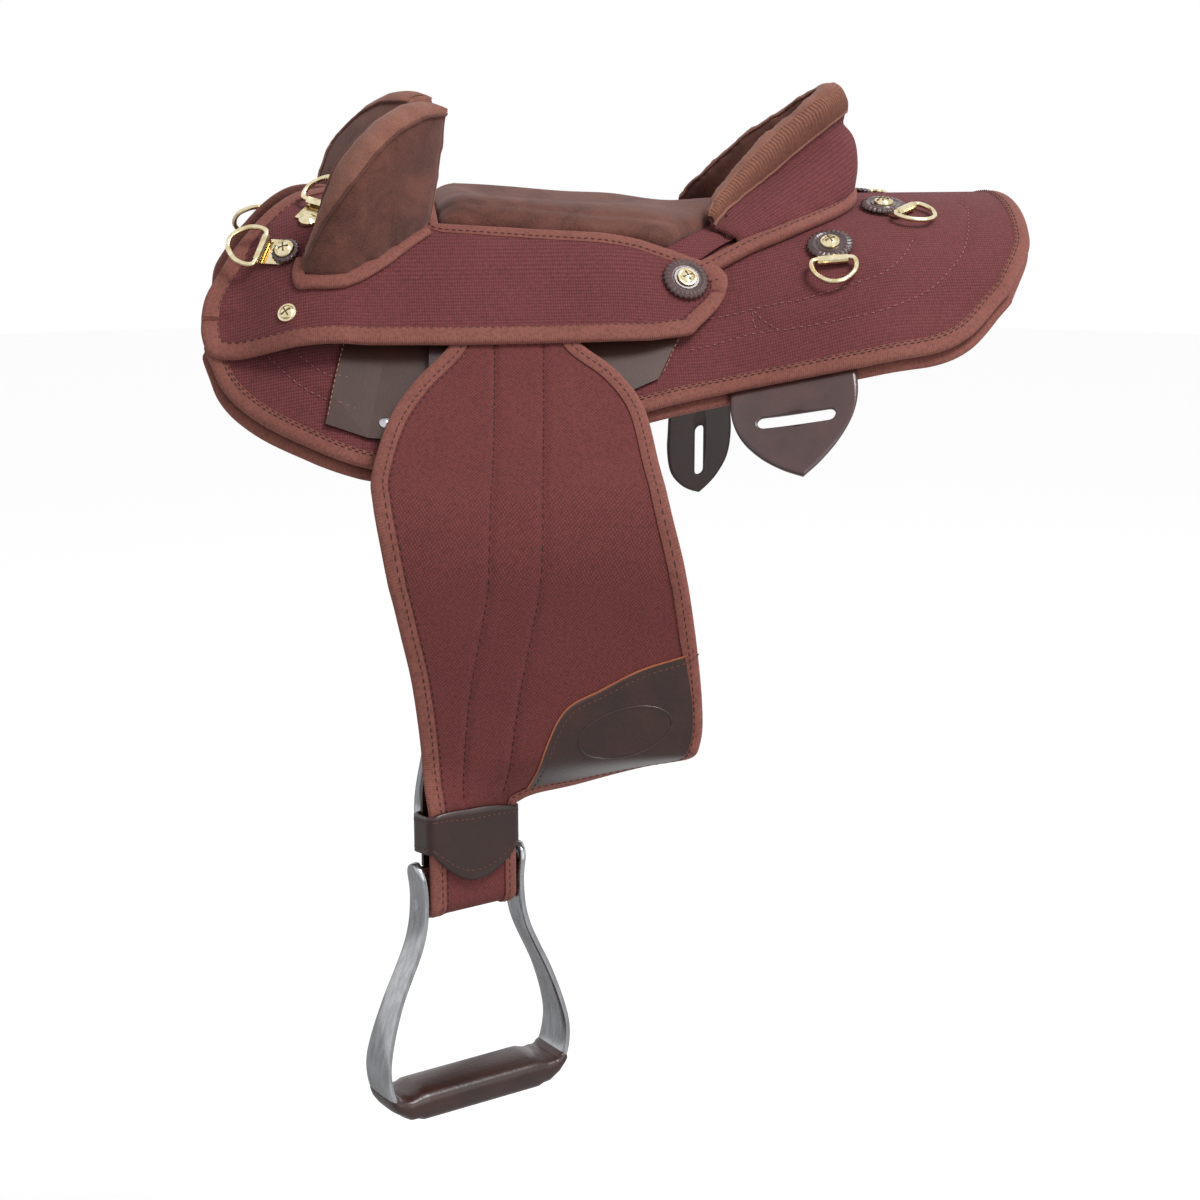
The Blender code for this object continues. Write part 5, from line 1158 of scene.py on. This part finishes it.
def around_slot(outer, slot, centre, slot_turn):
    """Pattern of a flap: u goes round the slot, v from the slot's edge out to the flap's edge."""
    turn = np.array([[math.cos(slot_turn), math.sin(slot_turn)],
                     [-math.sin(slot_turn), math.cos(slot_turn)]])

    def reach_of(points):
        closed = np.concatenate([points, points[:1]])
        dense = np.concatenate([mix(a, b, np.linspace(0.0, 1.0, 60)[:, None])
                                for a, b in zip(closed, closed[1:])])
        angle = np.arctan2(dense[:, 1], dense[:, 0])
        order = np.argsort(angle)
        reach = np.hypot(dense[:, 0], dense[:, 1])
        return lambda a: float(np.interp(a, angle[order], reach[order], period=2 * math.pi))

    wide = reach_of(outer - centre)
    narrow = reach_of(slot @ turn)

    def place(u, v):
        a = 2 * math.pi * (u % 1.0) - math.pi
        reach = mix(narrow(a), wide(a), v)
        return centre[0] + reach * math.cos(a), centre[1] + reach * math.sin(a)
    return place


near_outline = pointed([(0.044, 0.168), (0.0485, 0.185), (0.0490, 0.222), (0.0480, 0.2425), (0.0420, 0.260),
                        (0.0300, 0.2765), (0.0150, 0.290), (0.0, 0.300)])
far_outline = pointed([(0.024, 0.168), (0.0270, 0.190), (0.0300, 0.300), (0.0310, 0.330), (0.0275, 0.352),
                       (0.0185, 0.366), (0.0090, 0.374), (0.0, 0.379)])
plan = around_slot(near_outline + (FLAP_CENTRE, 0.0), stadium(0.030, 0.005), (FLAP_CENTRE, 0.251),
                   math.radians(8.0))
cloth_piece("left_rear_flap_leather", [(220, 10, plan)], on_side(-1), level(FLAP_TOP), 0.003, flap_leather,
            "saddle", ("left_rear_flap",))
KEEPER_CENTRE = (FLAP_CENTRE - 0.008, 0.338)
plan = around_slot(far_outline + (KEEPER_CENTRE[0], 0.0), stadium(0.0235, 0.0045), KEEPER_CENTRE,
                   math.radians(90.0))
cloth_piece("right_keeper_flap_leather", [(220, 10, plan)], below_skirt, level(FLAP_TOP), 0.003,
            strap_leather, "saddle", ("right_keeper_flap",))


dress("tree", moulded)

# %% [markdown]
# ## Fenders, straps and hobbles
# The fender lies over the stirrup strap, hangs down the flank, narrows to a neck and turns under
# the stirrup's top bar. One surface function follows that whole way, so the cloth, its tapes and
# its stitched channels are drawn on the flat pattern and bend and twist together with it.

# %% The way down the flank and round the stirrup bar
FLANK_START = SEAT_CROWN_WIDTH + (FLANK_ANGLE - SEAT_CROWN_WIDTH / SEAT_CROWN_RADIUS) * SEAT_SHOULDER_RADIUS
FENDER_TOP_S = 0.150
FENDER_BEND_S = 0.305
BEND_LENGTH = 0.050
NECK_WIDTH = 0.074
NECK_START_T = 0.532
NECK_X = {"left": -0.118, "right": -0.093}
STIRRUP_YAW = {"left": math.radians(27.0), "right": math.radians(78.0)}
STIRRUP_BAR_Z = -0.488
STIRRUP_BAR_RADIUS = 0.0065
TWIST_LENGTH = {"left": 0.042, "right": 0.100}
RETURN_LENGTH = 0.026
HOBBLE_TOP = 0.067
NECK_TOP_Z = STIRRUP_BAR_Z + HOBBLE_TOP + 0.004
LOOP_RADIUS = STIRRUP_BAR_RADIUS + LAYER_GAP + FENDER_THICKNESS / 2
FENDER_MIDDLE = (FENDER_LOW + FENDER_TOP) / 2


def on_drop(x, t, height, side, bend_at):
    """A point of a sheet that lies flat on the flank and then bends to hang straight down."""
    base = on_form(0.0, FLANK_START, 0.0)
    reach = min(t, bend_at) - FLANK_START
    y = base.y + reach * math.cos(FLANK_ANGLE)
    z = base.z - reach * math.sin(FLANK_ANGLE)
    radius = BEND_LENGTH / (math.pi / 2 - FLANK_ANGLE)
    angle = FLANK_ANGLE + min(max(t - bend_at, 0.0), BEND_LENGTH) / radius
    y += radius * (math.sin(angle) - math.sin(FLANK_ANGLE))
    z -= radius * (math.cos(FLANK_ANGLE) - math.cos(angle))
    z -= max(t - bend_at - BEND_LENGTH, 0.0)
    return Vector((x, side * (y + height * math.sin(angle)), z + height * math.cos(angle)))


hang_start = on_drop(0.0, FENDER_BEND_S + BEND_LENGTH, FENDER_MIDDLE, 1, FENDER_BEND_S)
BAR_T = FENDER_BEND_S + BEND_LENGTH + hang_start.z - STIRRUP_BAR_Z
TURN_T = BAR_T + math.pi * LOOP_RADIUS
FENDER_END_T = TURN_T + RETURN_LENGTH


def neck_frame(name, side):
    """Axes at the stirrup bar: X along the bar, Y toward the horse, Z up."""
    turn = Matrix.Rotation(-side * STIRRUP_YAW[name], 3, "Z")
    inward = turn @ Vector((0.0, -side, 0.0))
    made = Matrix.Identity(4)
    made.col[0][:3] = turn @ Vector((1.0, 0.0, 0.0))
    made.col[1][:3] = inward
    made.col[3][:3] = Vector((NECK_X[name], side * hang_start.y, STIRRUP_BAR_Z)) + inward * LOOP_RADIUS
    return made


def hung(name, side):
    """Surface function of one fender: x and t on the pattern, height above the form."""
    neck = neck_frame(name, side)
    centre = Vector((NECK_X[name], side * hang_start.y, 0.0))

    def surface(x, t, height):
        if t <= BAR_T:
            point = on_drop(x, t, height, side, FENDER_BEND_S)
            turn = STIRRUP_YAW[name] * (1.0 - smooth(NECK_TOP_Z, NECK_TOP_Z + TWIST_LENGTH[name], point.z))
            return Matrix.Rotation(-side * turn, 3, "Z") @ (point - centre) + centre
        radius = LOOP_RADIUS + height - FENDER_MIDDLE
        a = min((t - BAR_T) / LOOP_RADIUS, math.pi)
        rise = max(t - TURN_T, 0.0)
        return neck @ Vector((x - NECK_X[name], -radius * math.cos(a), rise - radius * math.sin(a)))
    return surface


def fender_edges(name):
    """Front and rear edge of the fender in (x, t), and the same down its neck."""
    half = NECK_WIDTH / 2
    neck = NECK_X[name]
    shift = (neck - NECK_X["left"]) * 0.5
    front = [(-0.120, FENDER_TOP_S), (-0.122, 0.176), (-0.152, 0.210), (-0.173, 0.243), (-0.187, 0.288),
             (-0.187, 0.311), (-0.181, 0.340), (-0.175, 0.364), (-0.169, 0.392), (-0.161 + shift, 0.432),
             (neck - half, 0.488), (neck - half, NECK_START_T)]
    rear = [(-0.029, FENDER_TOP_S), (-0.025, 0.176), (0.003, 0.203), (0.022, 0.236), (0.030, 0.288),
            (0.036, 0.320), (0.045, 0.350), (0.049, 0.370), (0.055, 0.413), (0.059, 0.456), (0.058, 0.483),
            (0.048, 0.506), (0.025, 0.520), (-0.020, 0.5265), (-0.062 + shift, 0.5275),
            (neck + half, NECK_START_T)]
    return curve_through(front, 160), curve_through(rear, 160)


# %% Fender cloth, tapes and stitched channels
FRONT_TAPE = 0.0115
REAR_TAPE = 0.0078
CHANNELS = [[(-0.089, 0.160), (-0.089, 0.178), (-0.095, 0.269), (-0.102, 0.331), (-0.105, 0.366),
             (-0.119, 0.444), (-0.126, 0.523)],
            [(-0.051, 0.160), (-0.051, 0.178), (-0.057, 0.270), (-0.062, 0.332), (-0.066, 0.367),
             (-0.081, 0.445), (-0.092, 0.525)]]
CUT_EDGE = [(0.053, 0.408), (0.046, 0.414), (0.012, 0.424), (-0.019, 0.439), (-0.046, 0.454),
            (-0.062, 0.486), (-0.073, 0.527)]
OVAL_CENTRE = (0.0, 0.473)
OVAL_SIZE = (0.037, 0.019)
OVAL_TURN = math.radians(-15.0)
fender_press = pressed(CHANNELS, 0.0014, 0.0026)


def fender_top(x, t):
    return FENDER_TOP - fender_press(x, t)


for name, side in SIDES.items():
    body = name + "_leather"
    surface = hung(name, side)
    front, rear = fender_edges(name)
    shift = NECK_X[name] - NECK_X["left"]
    half = NECK_WIDTH / 2

    def wide_part(u, v):
        return mix(at(front, v), at(rear, v), u)

    def neck_part(u, v):
        return NECK_X[name] + mix(-half, half, u), mix(NECK_START_T, FENDER_END_T, v)

    cloth_piece(name + "_fender_cloth", [(90, 44, neck_part), (90, 120, wide_part)], surface, fender_top,
                FENDER_THICKNESS, cordura_fender, body, (name + "_fender",))
    neck_t = np.linspace(NECK_START_T, FENDER_END_T, 70)[1:]
    front_path = np.concatenate([front, [(NECK_X[name] - half, t) for t in neck_t]])
    rear_path = np.concatenate([rear, [(NECK_X[name] + half, t) for t in neck_t]])
    binding(name + "_fender_front_tape", front_path, -1, surface, level(FENDER_LOW), level(FENDER_TOP),
            FRONT_TAPE, body)
    widths = np.interp(rear_path[:, 1], [0.40, 0.45], [FRONT_TAPE, REAR_TAPE])
    widths = np.where(rear_path[:, 1] > 0.540, 0.0095, widths)
    binding(name + "_fender_rear_tape", rear_path, 1, surface, level(FENDER_LOW),
            level(FENDER_TOP + 0.0006), widths, body)
    rows = [(offset_path(front_path, -0.0080), level(FENDER_TOP + 0.0009)),
            (offset_path(rear_path, 0.0058), level(FENDER_TOP + 0.0015))]
    rows += [(offset_path(front_path, -FRONT_TAPE - 0.0016), level(FENDER_TOP))]
    stitches(name + "_fender_tape_stitches", rows, surface, body, dark_thread, 0.0056, 0.0037, 0.00045)
    lines = [[(x + shift * smooth(0.36, 0.50, t), t) for x, t in line] for line in CHANNELS]
    stitches(name + "_fender_channel_stitches", [(curve_through(line, 160), fender_top) for line in lines],
             surface, body, dark_thread, 0.0056, 0.0040, 0.0006)

    cut = curve_through([(x + shift * smooth(0.44, 0.50, t), t) for x, t in CUT_EDGE], 80)
    outer = rear[(rear[:, 1] > 0.406) & (rear[:, 1] < 0.5292)]
    outer = curve_through(offset_path(outer, 0.0022)[::3], 80)
    PATCH_TOP = FENDER_TOP + 0.0014
    cloth_piece(name + "_corner_patch", [(44, 80, lambda u, v: mix(at(cut, v), at(outer, v), u))], surface,
                level(PATCH_TOP), 0.0014, cover_leather, body)
    points = [surface(x, t, FENDER_TOP + 0.0008) for x, t in cut]
    tube(name + "_patch_cut_edge", points, 0.0008, 8, cut_edge, body)
    stitches(name + "_patch_stitches", [(offset_path(cut, -0.0052), level(PATCH_TOP))], surface, body,
             brown_thread, 0.0046, 0.0032, 0.0005)
    oval = []
    for a in np.linspace(0.0, 2 * math.pi, 72, endpoint=False):
        along, across = OVAL_SIZE[0] * math.cos(a), OVAL_SIZE[1] * math.sin(a)
        x = OVAL_CENTRE[0] + shift * 0.4 + along * math.cos(OVAL_TURN) - across * math.sin(OVAL_TURN)
        t = OVAL_CENTRE[1] + along * math.sin(OVAL_TURN) + across * math.cos(OVAL_TURN)
        oval.append(surface(x, t, PATCH_TOP))
    tube(name + "_patch_oval", oval, 0.0008, 8, cover_leather, body, closed=True)
    dress(name + "_stirrup_leather", strap_leather)
    dress(name + "_buckle_plate", steel)
    dress(name + "_buckle_sleeve", steel)

# %% Hobble straps
HOBBLE_THICKNESS = 0.0028


def hobble_surface(name, side):
    """Leather round the neck: u goes once round from the middle of the outer face, v from 0 at its
    lower edge to 1 at its upper edge."""
    neck = neck_frame(name, side)
    half = NECK_WIDTH / 2 + 0.0012
    depth = LOOP_RADIUS + FENDER_THICKNESS / 2 + 0.0012
    corner = 0.004
    straight = 2 * (half - corner)
    end = 2 * (depth - corner)
    bend = math.pi / 2 * corner
    whole = 2 * straight + 2 * end + 4 * bend

    def place(distance, out):
        """Outline point at a distance along the band, with its direction."""
        d = (distance + straight / 2) % whole
        x, y, heading = -half + corner, -depth, 0.0
        for length, turning in ((straight, 0), (bend, 1), (end, 0), (bend, 1)) * 2:
            step = min(d, length)
            if turning:
                a = heading + step / corner
                x += corner * (math.sin(a) - math.sin(heading))
                y -= corner * (math.cos(a) - math.cos(heading))
                heading = a
            else:
                x += step * math.cos(heading)
                y += step * math.sin(heading)
            d -= step
            if d <= 0.0:
                break
        return x + out * math.sin(heading), y - out * math.cos(heading)

    def surface(u, v, out):
        x, y = place(u, out)
        bow = 1.0 - min(abs(x) / half, 1.0) ** 2
        face = 0.65 - 0.35 * y / depth
        tilt = 0.004 * smooth(0.0, half, -x) * face
        top = HOBBLE_TOP + 0.002 + 0.005 * bow * face + tilt
        low = HOBBLE_TOP - 0.028 - 0.021 * bow * face + tilt
        return neck @ Vector((x, y, mix(low, top, v)))
    return surface, whole


for name, side in SIDES.items():
    surface, whole = hobble_surface(name, side)
    cloth_piece(name + "_hobble_leather", [(140, 12, lambda u, v: (u * whole, v))], surface,
                level(HOBBLE_THICKNESS), HOBBLE_THICKNESS, strap_leather, name + "_hobble",
                (name + "_hobble_strap",), (1.0, 0.05))
    rows = [(np.array([(u, v) for u in np.linspace(0.0, whole, 200)]), level(HOBBLE_THICKNESS))
            for v in (0.14, 0.86)]
    stitches(name + "_hobble_stitches", rows, surface, name + "_hobble", brown_thread, 0.0045, 0.0031,
             0.00045)

# %% [markdown]
# ## Stirrups
# The frame is cast aluminium, ground and polished, with a leather cover wrapped over the tread
# and past both lower corners. A loft along the arm's centre line gives its swelling, rounded
# section in one go, where a bevelled curve would keep one section all the way.

# %% Stirrup frame and tread cover
ARM_THICKNESS = 0.007
ARM_DEPTH = 0.024
TREAD_DEPTH = 0.046
TREAD_THICKNESS = 0.026
TREAD_HALF_LENGTH = 0.062
TREAD_DROP = 0.159
EAR_TOP = 0.034
ARM_TOP_HALF_WIDTH = 0.0455
STIRRUP_HALF_WIDTH = 0.0815


def arm_path():
    top = ARM_TOP_HALF_WIDTH - ARM_THICKNESS / 2
    wide = STIRRUP_HALF_WIDTH
    half = curve_through([(top + 0.0045, EAR_TOP), (top + 0.001, 0.004), (top + 0.006, -0.030),
                          (mix(top, wide, 0.66), -0.075), (wide * 0.975, -0.110), (wide, -0.132),
                          (wide * 0.93, TREAD_DROP * -0.955), (TREAD_HALF_LENGTH, -TREAD_DROP)], 70)
    return np.concatenate([half, [(u, -TREAD_DROP) for u in np.linspace(TREAD_HALF_LENGTH, 0.0, 14)[1:]],
                           [(-u, -TREAD_DROP) for u in np.linspace(0.0, TREAD_HALF_LENGTH, 14)[1:-1]],
                           half[::-1] * (-1, 1)])


def swept(neck, path, section_of_path, sides, sharp):
    """Rings of a rounded section along a path in the stirrup's plane; section gives half sizes."""
    tangent = np.gradient(path, axis=0)
    tangent /= np.linalg.norm(tangent, axis=1)[:, None]
    rings = []
    for k, (u, z) in enumerate(path):
        thin, deep = section_of_path(k, u, z)
        ring = []
        for n in range(sides):
            a = 2 * math.pi * n / sides
            p = math.copysign(abs(math.cos(a)) ** sharp, math.cos(a)) * thin
            q = math.copysign(abs(math.sin(a)) ** sharp, math.sin(a)) * deep
            ring.append(neck @ Vector((u - tangent[k][1] * p, q, z + tangent[k][0] * p)))
        rings.append(ring)
    return rings


def arm_section(k, u, z):
    deep = mix(ARM_DEPTH, TREAD_DEPTH * 0.86, smooth(0.05, TREAD_DROP, -z)) / 2
    deep *= math.sqrt(max(1.0 - (max(z - EAR_TOP + 0.013, 0.0) / 0.0135) ** 2, 0.04))
    return ARM_THICKNESS / 2, deep


for name, side in SIDES.items():
    neck = neck_frame(name, side)
    body = name + "_stirrup"
    file_piece(name + "_stirrup_casting", loft(swept(neck, arm_path(), arm_section, 20, 0.62)), aluminium,
               body, 40.0, (name + "_stirrup_frame",))
    reach = ARM_TOP_HALF_WIDTH - ARM_THICKNESS / 2
    tube(name + "_stirrup_bar", [neck @ Vector((u, 0.0, 0.0)) for u in np.linspace(-reach, reach, 8)],
         STIRRUP_BAR_RADIUS, 20, aluminium, body)
    for label, sign in (("front", -1), ("rear", 1)):
        head = [neck @ Vector((sign * (reach + ARM_THICKNESS / 2 + d), 0.0, 0.0))
                for d in (-0.001, 0.0010, 0.0014)]
        tube(name + "_stirrup_" + label + "_bar_end", head, 0.0048, 16, steel, body)

    whole = arm_path()
    first = int(np.argmax(whole[:, 1] < -0.1465))
    cover_path = whole[first:len(whole) - first]
    steps = lengths_along(cover_path)

    def cover_section(k, u, z):
        t = steps[k] / steps[-1]
        end = smooth(0.0, 0.20, min(t, 1.0 - t))
        close = smooth(0.0, 0.025, min(t, 1.0 - t))
        crease_depth = 0.0009 * math.exp(-((min(t, 1.0 - t) - 0.15) / 0.014) ** 2)
        ripple = 0.00035 * math.sin(t * 95.0) * (1.0 - end)
        thin = mix(0.0050, TREAD_THICKNESS / 2, end) + ripple - crease_depth
        deep = mix(0.0205, TREAD_DEPTH / 2, end) + ripple - crease_depth
        return thin * mix(0.80, 1.0, close), deep * mix(0.92, 1.0, close)

    file_piece(name + "_tread_cover_leather", loft(swept(neck, cover_path, cover_section, 28, 0.60)),
               cover_leather, body, 60.0, (name + "_tread_cover",))

# %% [markdown]
# ## Rings, clips, rosettes and screws
# Each dee ring turns in the curl of a brass clip, which a slotted screw holds down through a
# scalloped leather rosette. Screws and rosettes are turned about their own axis with a full spin,
# which is how they are made on a lathe, and the scallops then push the rim in and out.

# %% Frames and small turned parts
FIT_GAP = 0.0004
RING_WIDTH = 0.036
RING_DEPTH = 0.027
RING_WIRE_RADIUS = 0.0021
CLIP_THICKNESS = 0.0014
CLIP_REACH = 0.021
ROSETTE_RADIUS = 0.0185
FRONT_ROSETTE_RADIUS = 0.0115
ROSETTE_THICKNESS = 0.003
SCREW_RADIUS = 0.008
SCREW_HEIGHT = 0.004


def surface_frame(x, s, height, pointing):
    """Axes on a sheet: X points along the given angle in the plan, Z points out."""
    step = 0.004
    along = on_form(x + step, s, height(x + step, s)) - on_form(x - step, s, height(x - step, s))
    farther, nearer = s + math.copysign(step, s), s - math.copysign(step, s)
    down = on_form(x, farther, height(x, farther)) - on_form(x, nearer, height(x, nearer))
    out = along.cross(down).normalized()
    if out.z < 0:
        out.negate()
    along.normalize()
    sideways = out.cross(along).normalized()
    if sideways.dot(down) < 0:
        sideways.negate()
    direction = math.cos(pointing) * along + math.sin(pointing) * sideways
    made = Matrix.Identity(4)
    for k, axis in enumerate((direction, out.cross(direction).normalized(), out)):
        made.col[k][:3] = axis
    made.col[3][:3] = on_form(x, s, height(x, s))
    return made


def turned(name, axes, profile, steps, material, body, replaces=(), scallops=0, wave=0.0):
    """Spin a profile of (radius, height) once round an axis, closed at the middle."""
    bm = bmesh.new()
    verts = [bm.verts.new((radius, 0.0, z)) for radius, z in profile]
    edges = [bm.edges.new(pair) for pair in zip(verts, verts[1:])]
    bmesh.ops.spin(bm, geom=verts + edges, cent=(0, 0, 0), axis=(0, 0, 1), angle=2 * math.pi, steps=steps,
                   use_merge=True)
    bmesh.ops.remove_doubles(bm, verts=bm.verts, dist=0.000005)
    rim = max(radius for radius, _ in profile)
    for vert in bm.verts:
        radius = math.hypot(vert.co.x, vert.co.y)
        if scallops and radius > rim * 0.55:
            share = (radius / rim - 0.55) / 0.45
            push = 1.0 + wave * share * math.cos(scallops * math.atan2(vert.co.y, vert.co.x))
            vert.co.x *= push
            vert.co.y *= push
            vert.co.z -= 0.0006 * share * (1.0 - math.cos(scallops * math.atan2(vert.co.y, vert.co.x))) / 2
    bmesh.ops.recalc_face_normals(bm, faces=bm.faces)
    bmesh.ops.transform(bm, matrix=axes, verts=bm.verts)
    return file_piece(name, bm, material, body, 35.0, replaces)


def bolt(prefix, axes, base, body, node):
    """Domed brass screw head with a stepped rim and a cross slot."""
    r, h = SCREW_RADIUS, SCREW_HEIGHT
    profile = [(0.0, base), (r, base), (r, base + 0.0010), (r * 0.95, base + 0.0016),
               (r * 0.80, base + 0.0018), (r * 0.77, base + 0.0015), (r * 0.72, base + 0.0019),
               (r * 0.55, base + h * 0.78), (r * 0.30, base + h * 0.95), (0.0, base + h)]
    turned(prefix + "_screw_head", axes, profile, 40, brass, body, (node,))
    bm = bmesh.new()
    for angle in (0.4, 0.4 + math.pi / 2):
        size = Matrix.Diagonal((r * 1.10, 0.0011, 0.0008, 1.0))
        turn = Matrix.Rotation(angle, 4, "Z")
        place = axes @ Matrix.Translation((0.0, 0.0, base + h * 0.93)) @ turn @ size
        bmesh.ops.create_cube(bm, size=1.0, matrix=place)
    file_piece(prefix + "_screw_slot", bm, slot_shadow, body, 30.0)


def rosette(prefix, axes, base, radius, body, node, material):
    """Scalloped leather disc with a pressed ring round the screw and a domed rim."""
    t = ROSETTE_THICKNESS
    profile = [(0.0, base), (radius * 0.97, base), (radius, base + t * 0.35),
               (radius * 0.97, base + t * 0.75), (radius * 0.90, base + t * 1.0),
               (radius * 0.74, base + t * 1.15), (radius * 0.66, base + t * 0.85),
               (radius * 0.60, base + t * 0.80), (radius * 0.55, base + t * 1.05), (0.0, base + t * 1.05)]
    turned(prefix + "_rosette_leather", axes, profile, 208 if radius > 0.015 else 144, material, body,
           (node,), 26 if radius > 0.015 else 18, 0.035)


def dee_ring(prefix, axes, tilt_angle):
    """Round brass wire bent to a dee; its straight side lies in the clip's curl."""
    width = RING_WIDTH / 2
    axis = (CLIP_REACH, 0.0, FIT_GAP * 2 + CLIP_THICKNESS * 2 + RING_WIRE_RADIUS)
    tilt = Matrix.Translation(axis) @ Matrix.Rotation(tilt_angle, 4, "Y")
    bow = curve_through([(0.0, width * 0.62), (RING_DEPTH * 0.06, width * 0.92), (RING_DEPTH * 0.30, width),
                         (RING_DEPTH * 0.62, width * 0.86), (RING_DEPTH * 0.92, width * 0.42),
                         (RING_DEPTH, 0.0)], 30)
    path = [(0.0, b) for b in np.linspace(-width * 0.62, width * 0.62, 8)[:-1]] + [tuple(p) for p in bow]
    path += [(a, -b) for a, b in reversed([tuple(p) for p in bow[1:-1]])]
    tube(prefix + "_wire", [axes @ tilt @ Vector((a, b, 0.0)) for a, b in path], RING_WIRE_RADIUS, 14,
         brass, prefix + "_ring", True, (prefix + "_ring",))


# %% Place the fittings
RING_SETS = {
    "front_dee": (-0.247, 0.0975, jockey_top, math.radians(211.0), FRONT_ROSETTE_RADIUS,
                  math.radians(-16.0)),
    "rear_lower_dee": (0.187, 0.110, level(SKIRT_TOP), math.radians(100.0), ROSETTE_RADIUS,
                       math.radians(5.0)),
    "rear_upper_dee": (0.243, 0.057, level(SKIRT_TOP), math.radians(47.0), ROSETTE_RADIUS,
                       math.radians(5.0)),
}
for name, side in SIDES.items():
    for set_name, (x, s, height, pointing, radius, tilt_angle) in RING_SETS.items():
        prefix = name + "_" + set_name
        axes = surface_frame(x, side * s, height, pointing)
        dee_ring(prefix, axes, tilt_angle)
        dress(prefix + "_clip", brass)
        base = FIT_GAP * 2 + CLIP_THICKNESS
        rosette(prefix, axes, base, radius, "saddle", prefix + "_rosette", flap_leather)
        bolt(prefix, axes, base + ROSETTE_THICKNESS + FIT_GAP, "saddle", prefix + "_screw")
    prefix = name + "_jockey_front"
    bolt(prefix, surface_frame(-0.248, side * 0.146, jockey_top, 0.0), 0.0, "saddle", prefix + "_screw")
    prefix = name + "_jockey_rear"
    axes = surface_frame(0.066, side * 0.122, jockey_top, 0.0)
    rosette(prefix, axes, 0.0015, ROSETTE_RADIUS, "saddle", prefix + "_rosette", flap_leather)
    bolt(prefix, axes, 0.0015 + ROSETTE_THICKNESS + FIT_GAP, "saddle", prefix + "_screw")
    rivet = surface_frame(-0.176, side * 0.239, lambda x, s: RIGGING_TOP + bend_ease(x), 0.0)
    turned(name + "_plate_rivet", rivet,
           [(0.0, 0.0), (0.0048, 0.0), (0.0046, 0.0009), (0.0030, 0.0020), (0.0, 0.0024)], 24, steel,
           "saddle")
dee_ring("left_pommel_dee", surface_frame(-0.230, -0.076, jockey_top, math.radians(-50.0)),
         math.radians(-20.0))
dress("left_pommel_dee_clip", brass)

# %% [markdown]
# ## Camera, light and floor
# The camera stands where the photographer stood, a little above the seat and nearly square to the
# near side. Light is plain: a white room, one large soft light above and one from the front.

# %% Camera
TARGET = Vector((-0.010, -0.200, -0.272))
AZIMUTH = math.radians(-7.0)
ELEVATION = math.radians(14.0)
DISTANCE = 1.9
scene = bpy.context.scene
camera_data = bpy.data.cameras.new("camera")
camera_data.angle = math.radians(28.0)
camera = bpy.data.objects.new("camera", camera_data)
scene.collection.objects.link(camera)
away = Vector((math.sin(AZIMUTH) * math.cos(ELEVATION), -math.cos(AZIMUTH) * math.cos(ELEVATION),
               math.sin(ELEVATION)))
camera.location = TARGET + away * DISTANCE
camera.rotation_euler = away.to_track_quat("Z", "Y").to_euler()
scene.camera = camera
scene.view_settings.view_transform = "Standard"


# %% Soft lights and a plain room
def soft_light(name, place, size, power):
    data = bpy.data.lights.new(name, "AREA")
    data.shape = "DISK"
    data.size = size
    data.energy = power
    light = bpy.data.objects.new(name, data)
    light.location = place
    light.rotation_euler = (Vector(place) - TARGET).to_track_quat("Z", "Y").to_euler()
    scene.collection.objects.link(light)
    return light


soft_light("key light", (1.3, -1.2, 2.4), 1.2, 56.0)
soft_light("fill light", (1.2, -2.2, 0.2), 1.6, 9.0)
room = bpy.data.worlds.new("room")
room.use_nodes = True
scene.world = room
ROOM_LIGHT = 0.38
tree = room.node_tree
rays = add_node(tree, "ShaderNodeLightPath")
seen = add_node(tree, "ShaderNodeMath",
                {0: rays.outputs["Is Camera Ray"], 1: rays.outputs["Is Transmission Ray"]},
                operation="MAXIMUM")
seen = add_node(tree, "ShaderNodeMath", {0: seen.outputs["Value"], 1: rays.outputs["Is Glossy Ray"]},
                operation="MAXIMUM")
grey = tree.nodes["Background"]
grey.inputs["Color"].default_value = (1.0, 1.0, 1.0, 1.0)
grey.inputs["Strength"].default_value = ROOM_LIGHT
white = add_node(tree, "ShaderNodeBackground", {"Color": (1.0, 1.0, 1.0, 1.0), "Strength": 1.0})
both = add_node(tree, "ShaderNodeMixShader", {0: seen.outputs["Value"], 1: grey.outputs["Background"],
                                              2: white.outputs["Background"]})
tree.links.new(both.outputs["Shader"], tree.nodes["World Output"].inputs["Surface"])

# %% Floor
FLOOR_Z = -1.25
FLOOR_GLOW = 0.62
floor_paint, tree, floor_surface = new_material("paint, plain white floor", 0.9,
                                                Emission_Color=(1.0, 1.0, 1.0, 1.0))
floor_surface.inputs["Base Color"].default_value = colour("#e6e6e6")
rays = add_node(tree, "ShaderNodeLightPath")
glow = add_node(tree, "ShaderNodeMath", {0: rays.outputs["Is Camera Ray"], 1: FLOOR_GLOW},
                operation="MULTIPLY")
tree.links.new(glow.outputs["Value"], floor_surface.inputs["Emission Strength"])
bm = bmesh.new()
bmesh.ops.create_circle(bm, cap_ends=True, segments=96, radius=9.0,
                        matrix=Matrix.Translation((0.0, 0.0, FLOOR_Z)))
mesh = bpy.data.meshes.new("floor")
bm.to_mesh(mesh)
bm.free()
mesh.materials.append(floor_paint)
floor = bpy.data.objects.new("floor", mesh)
scene.collection.objects.link(floor)
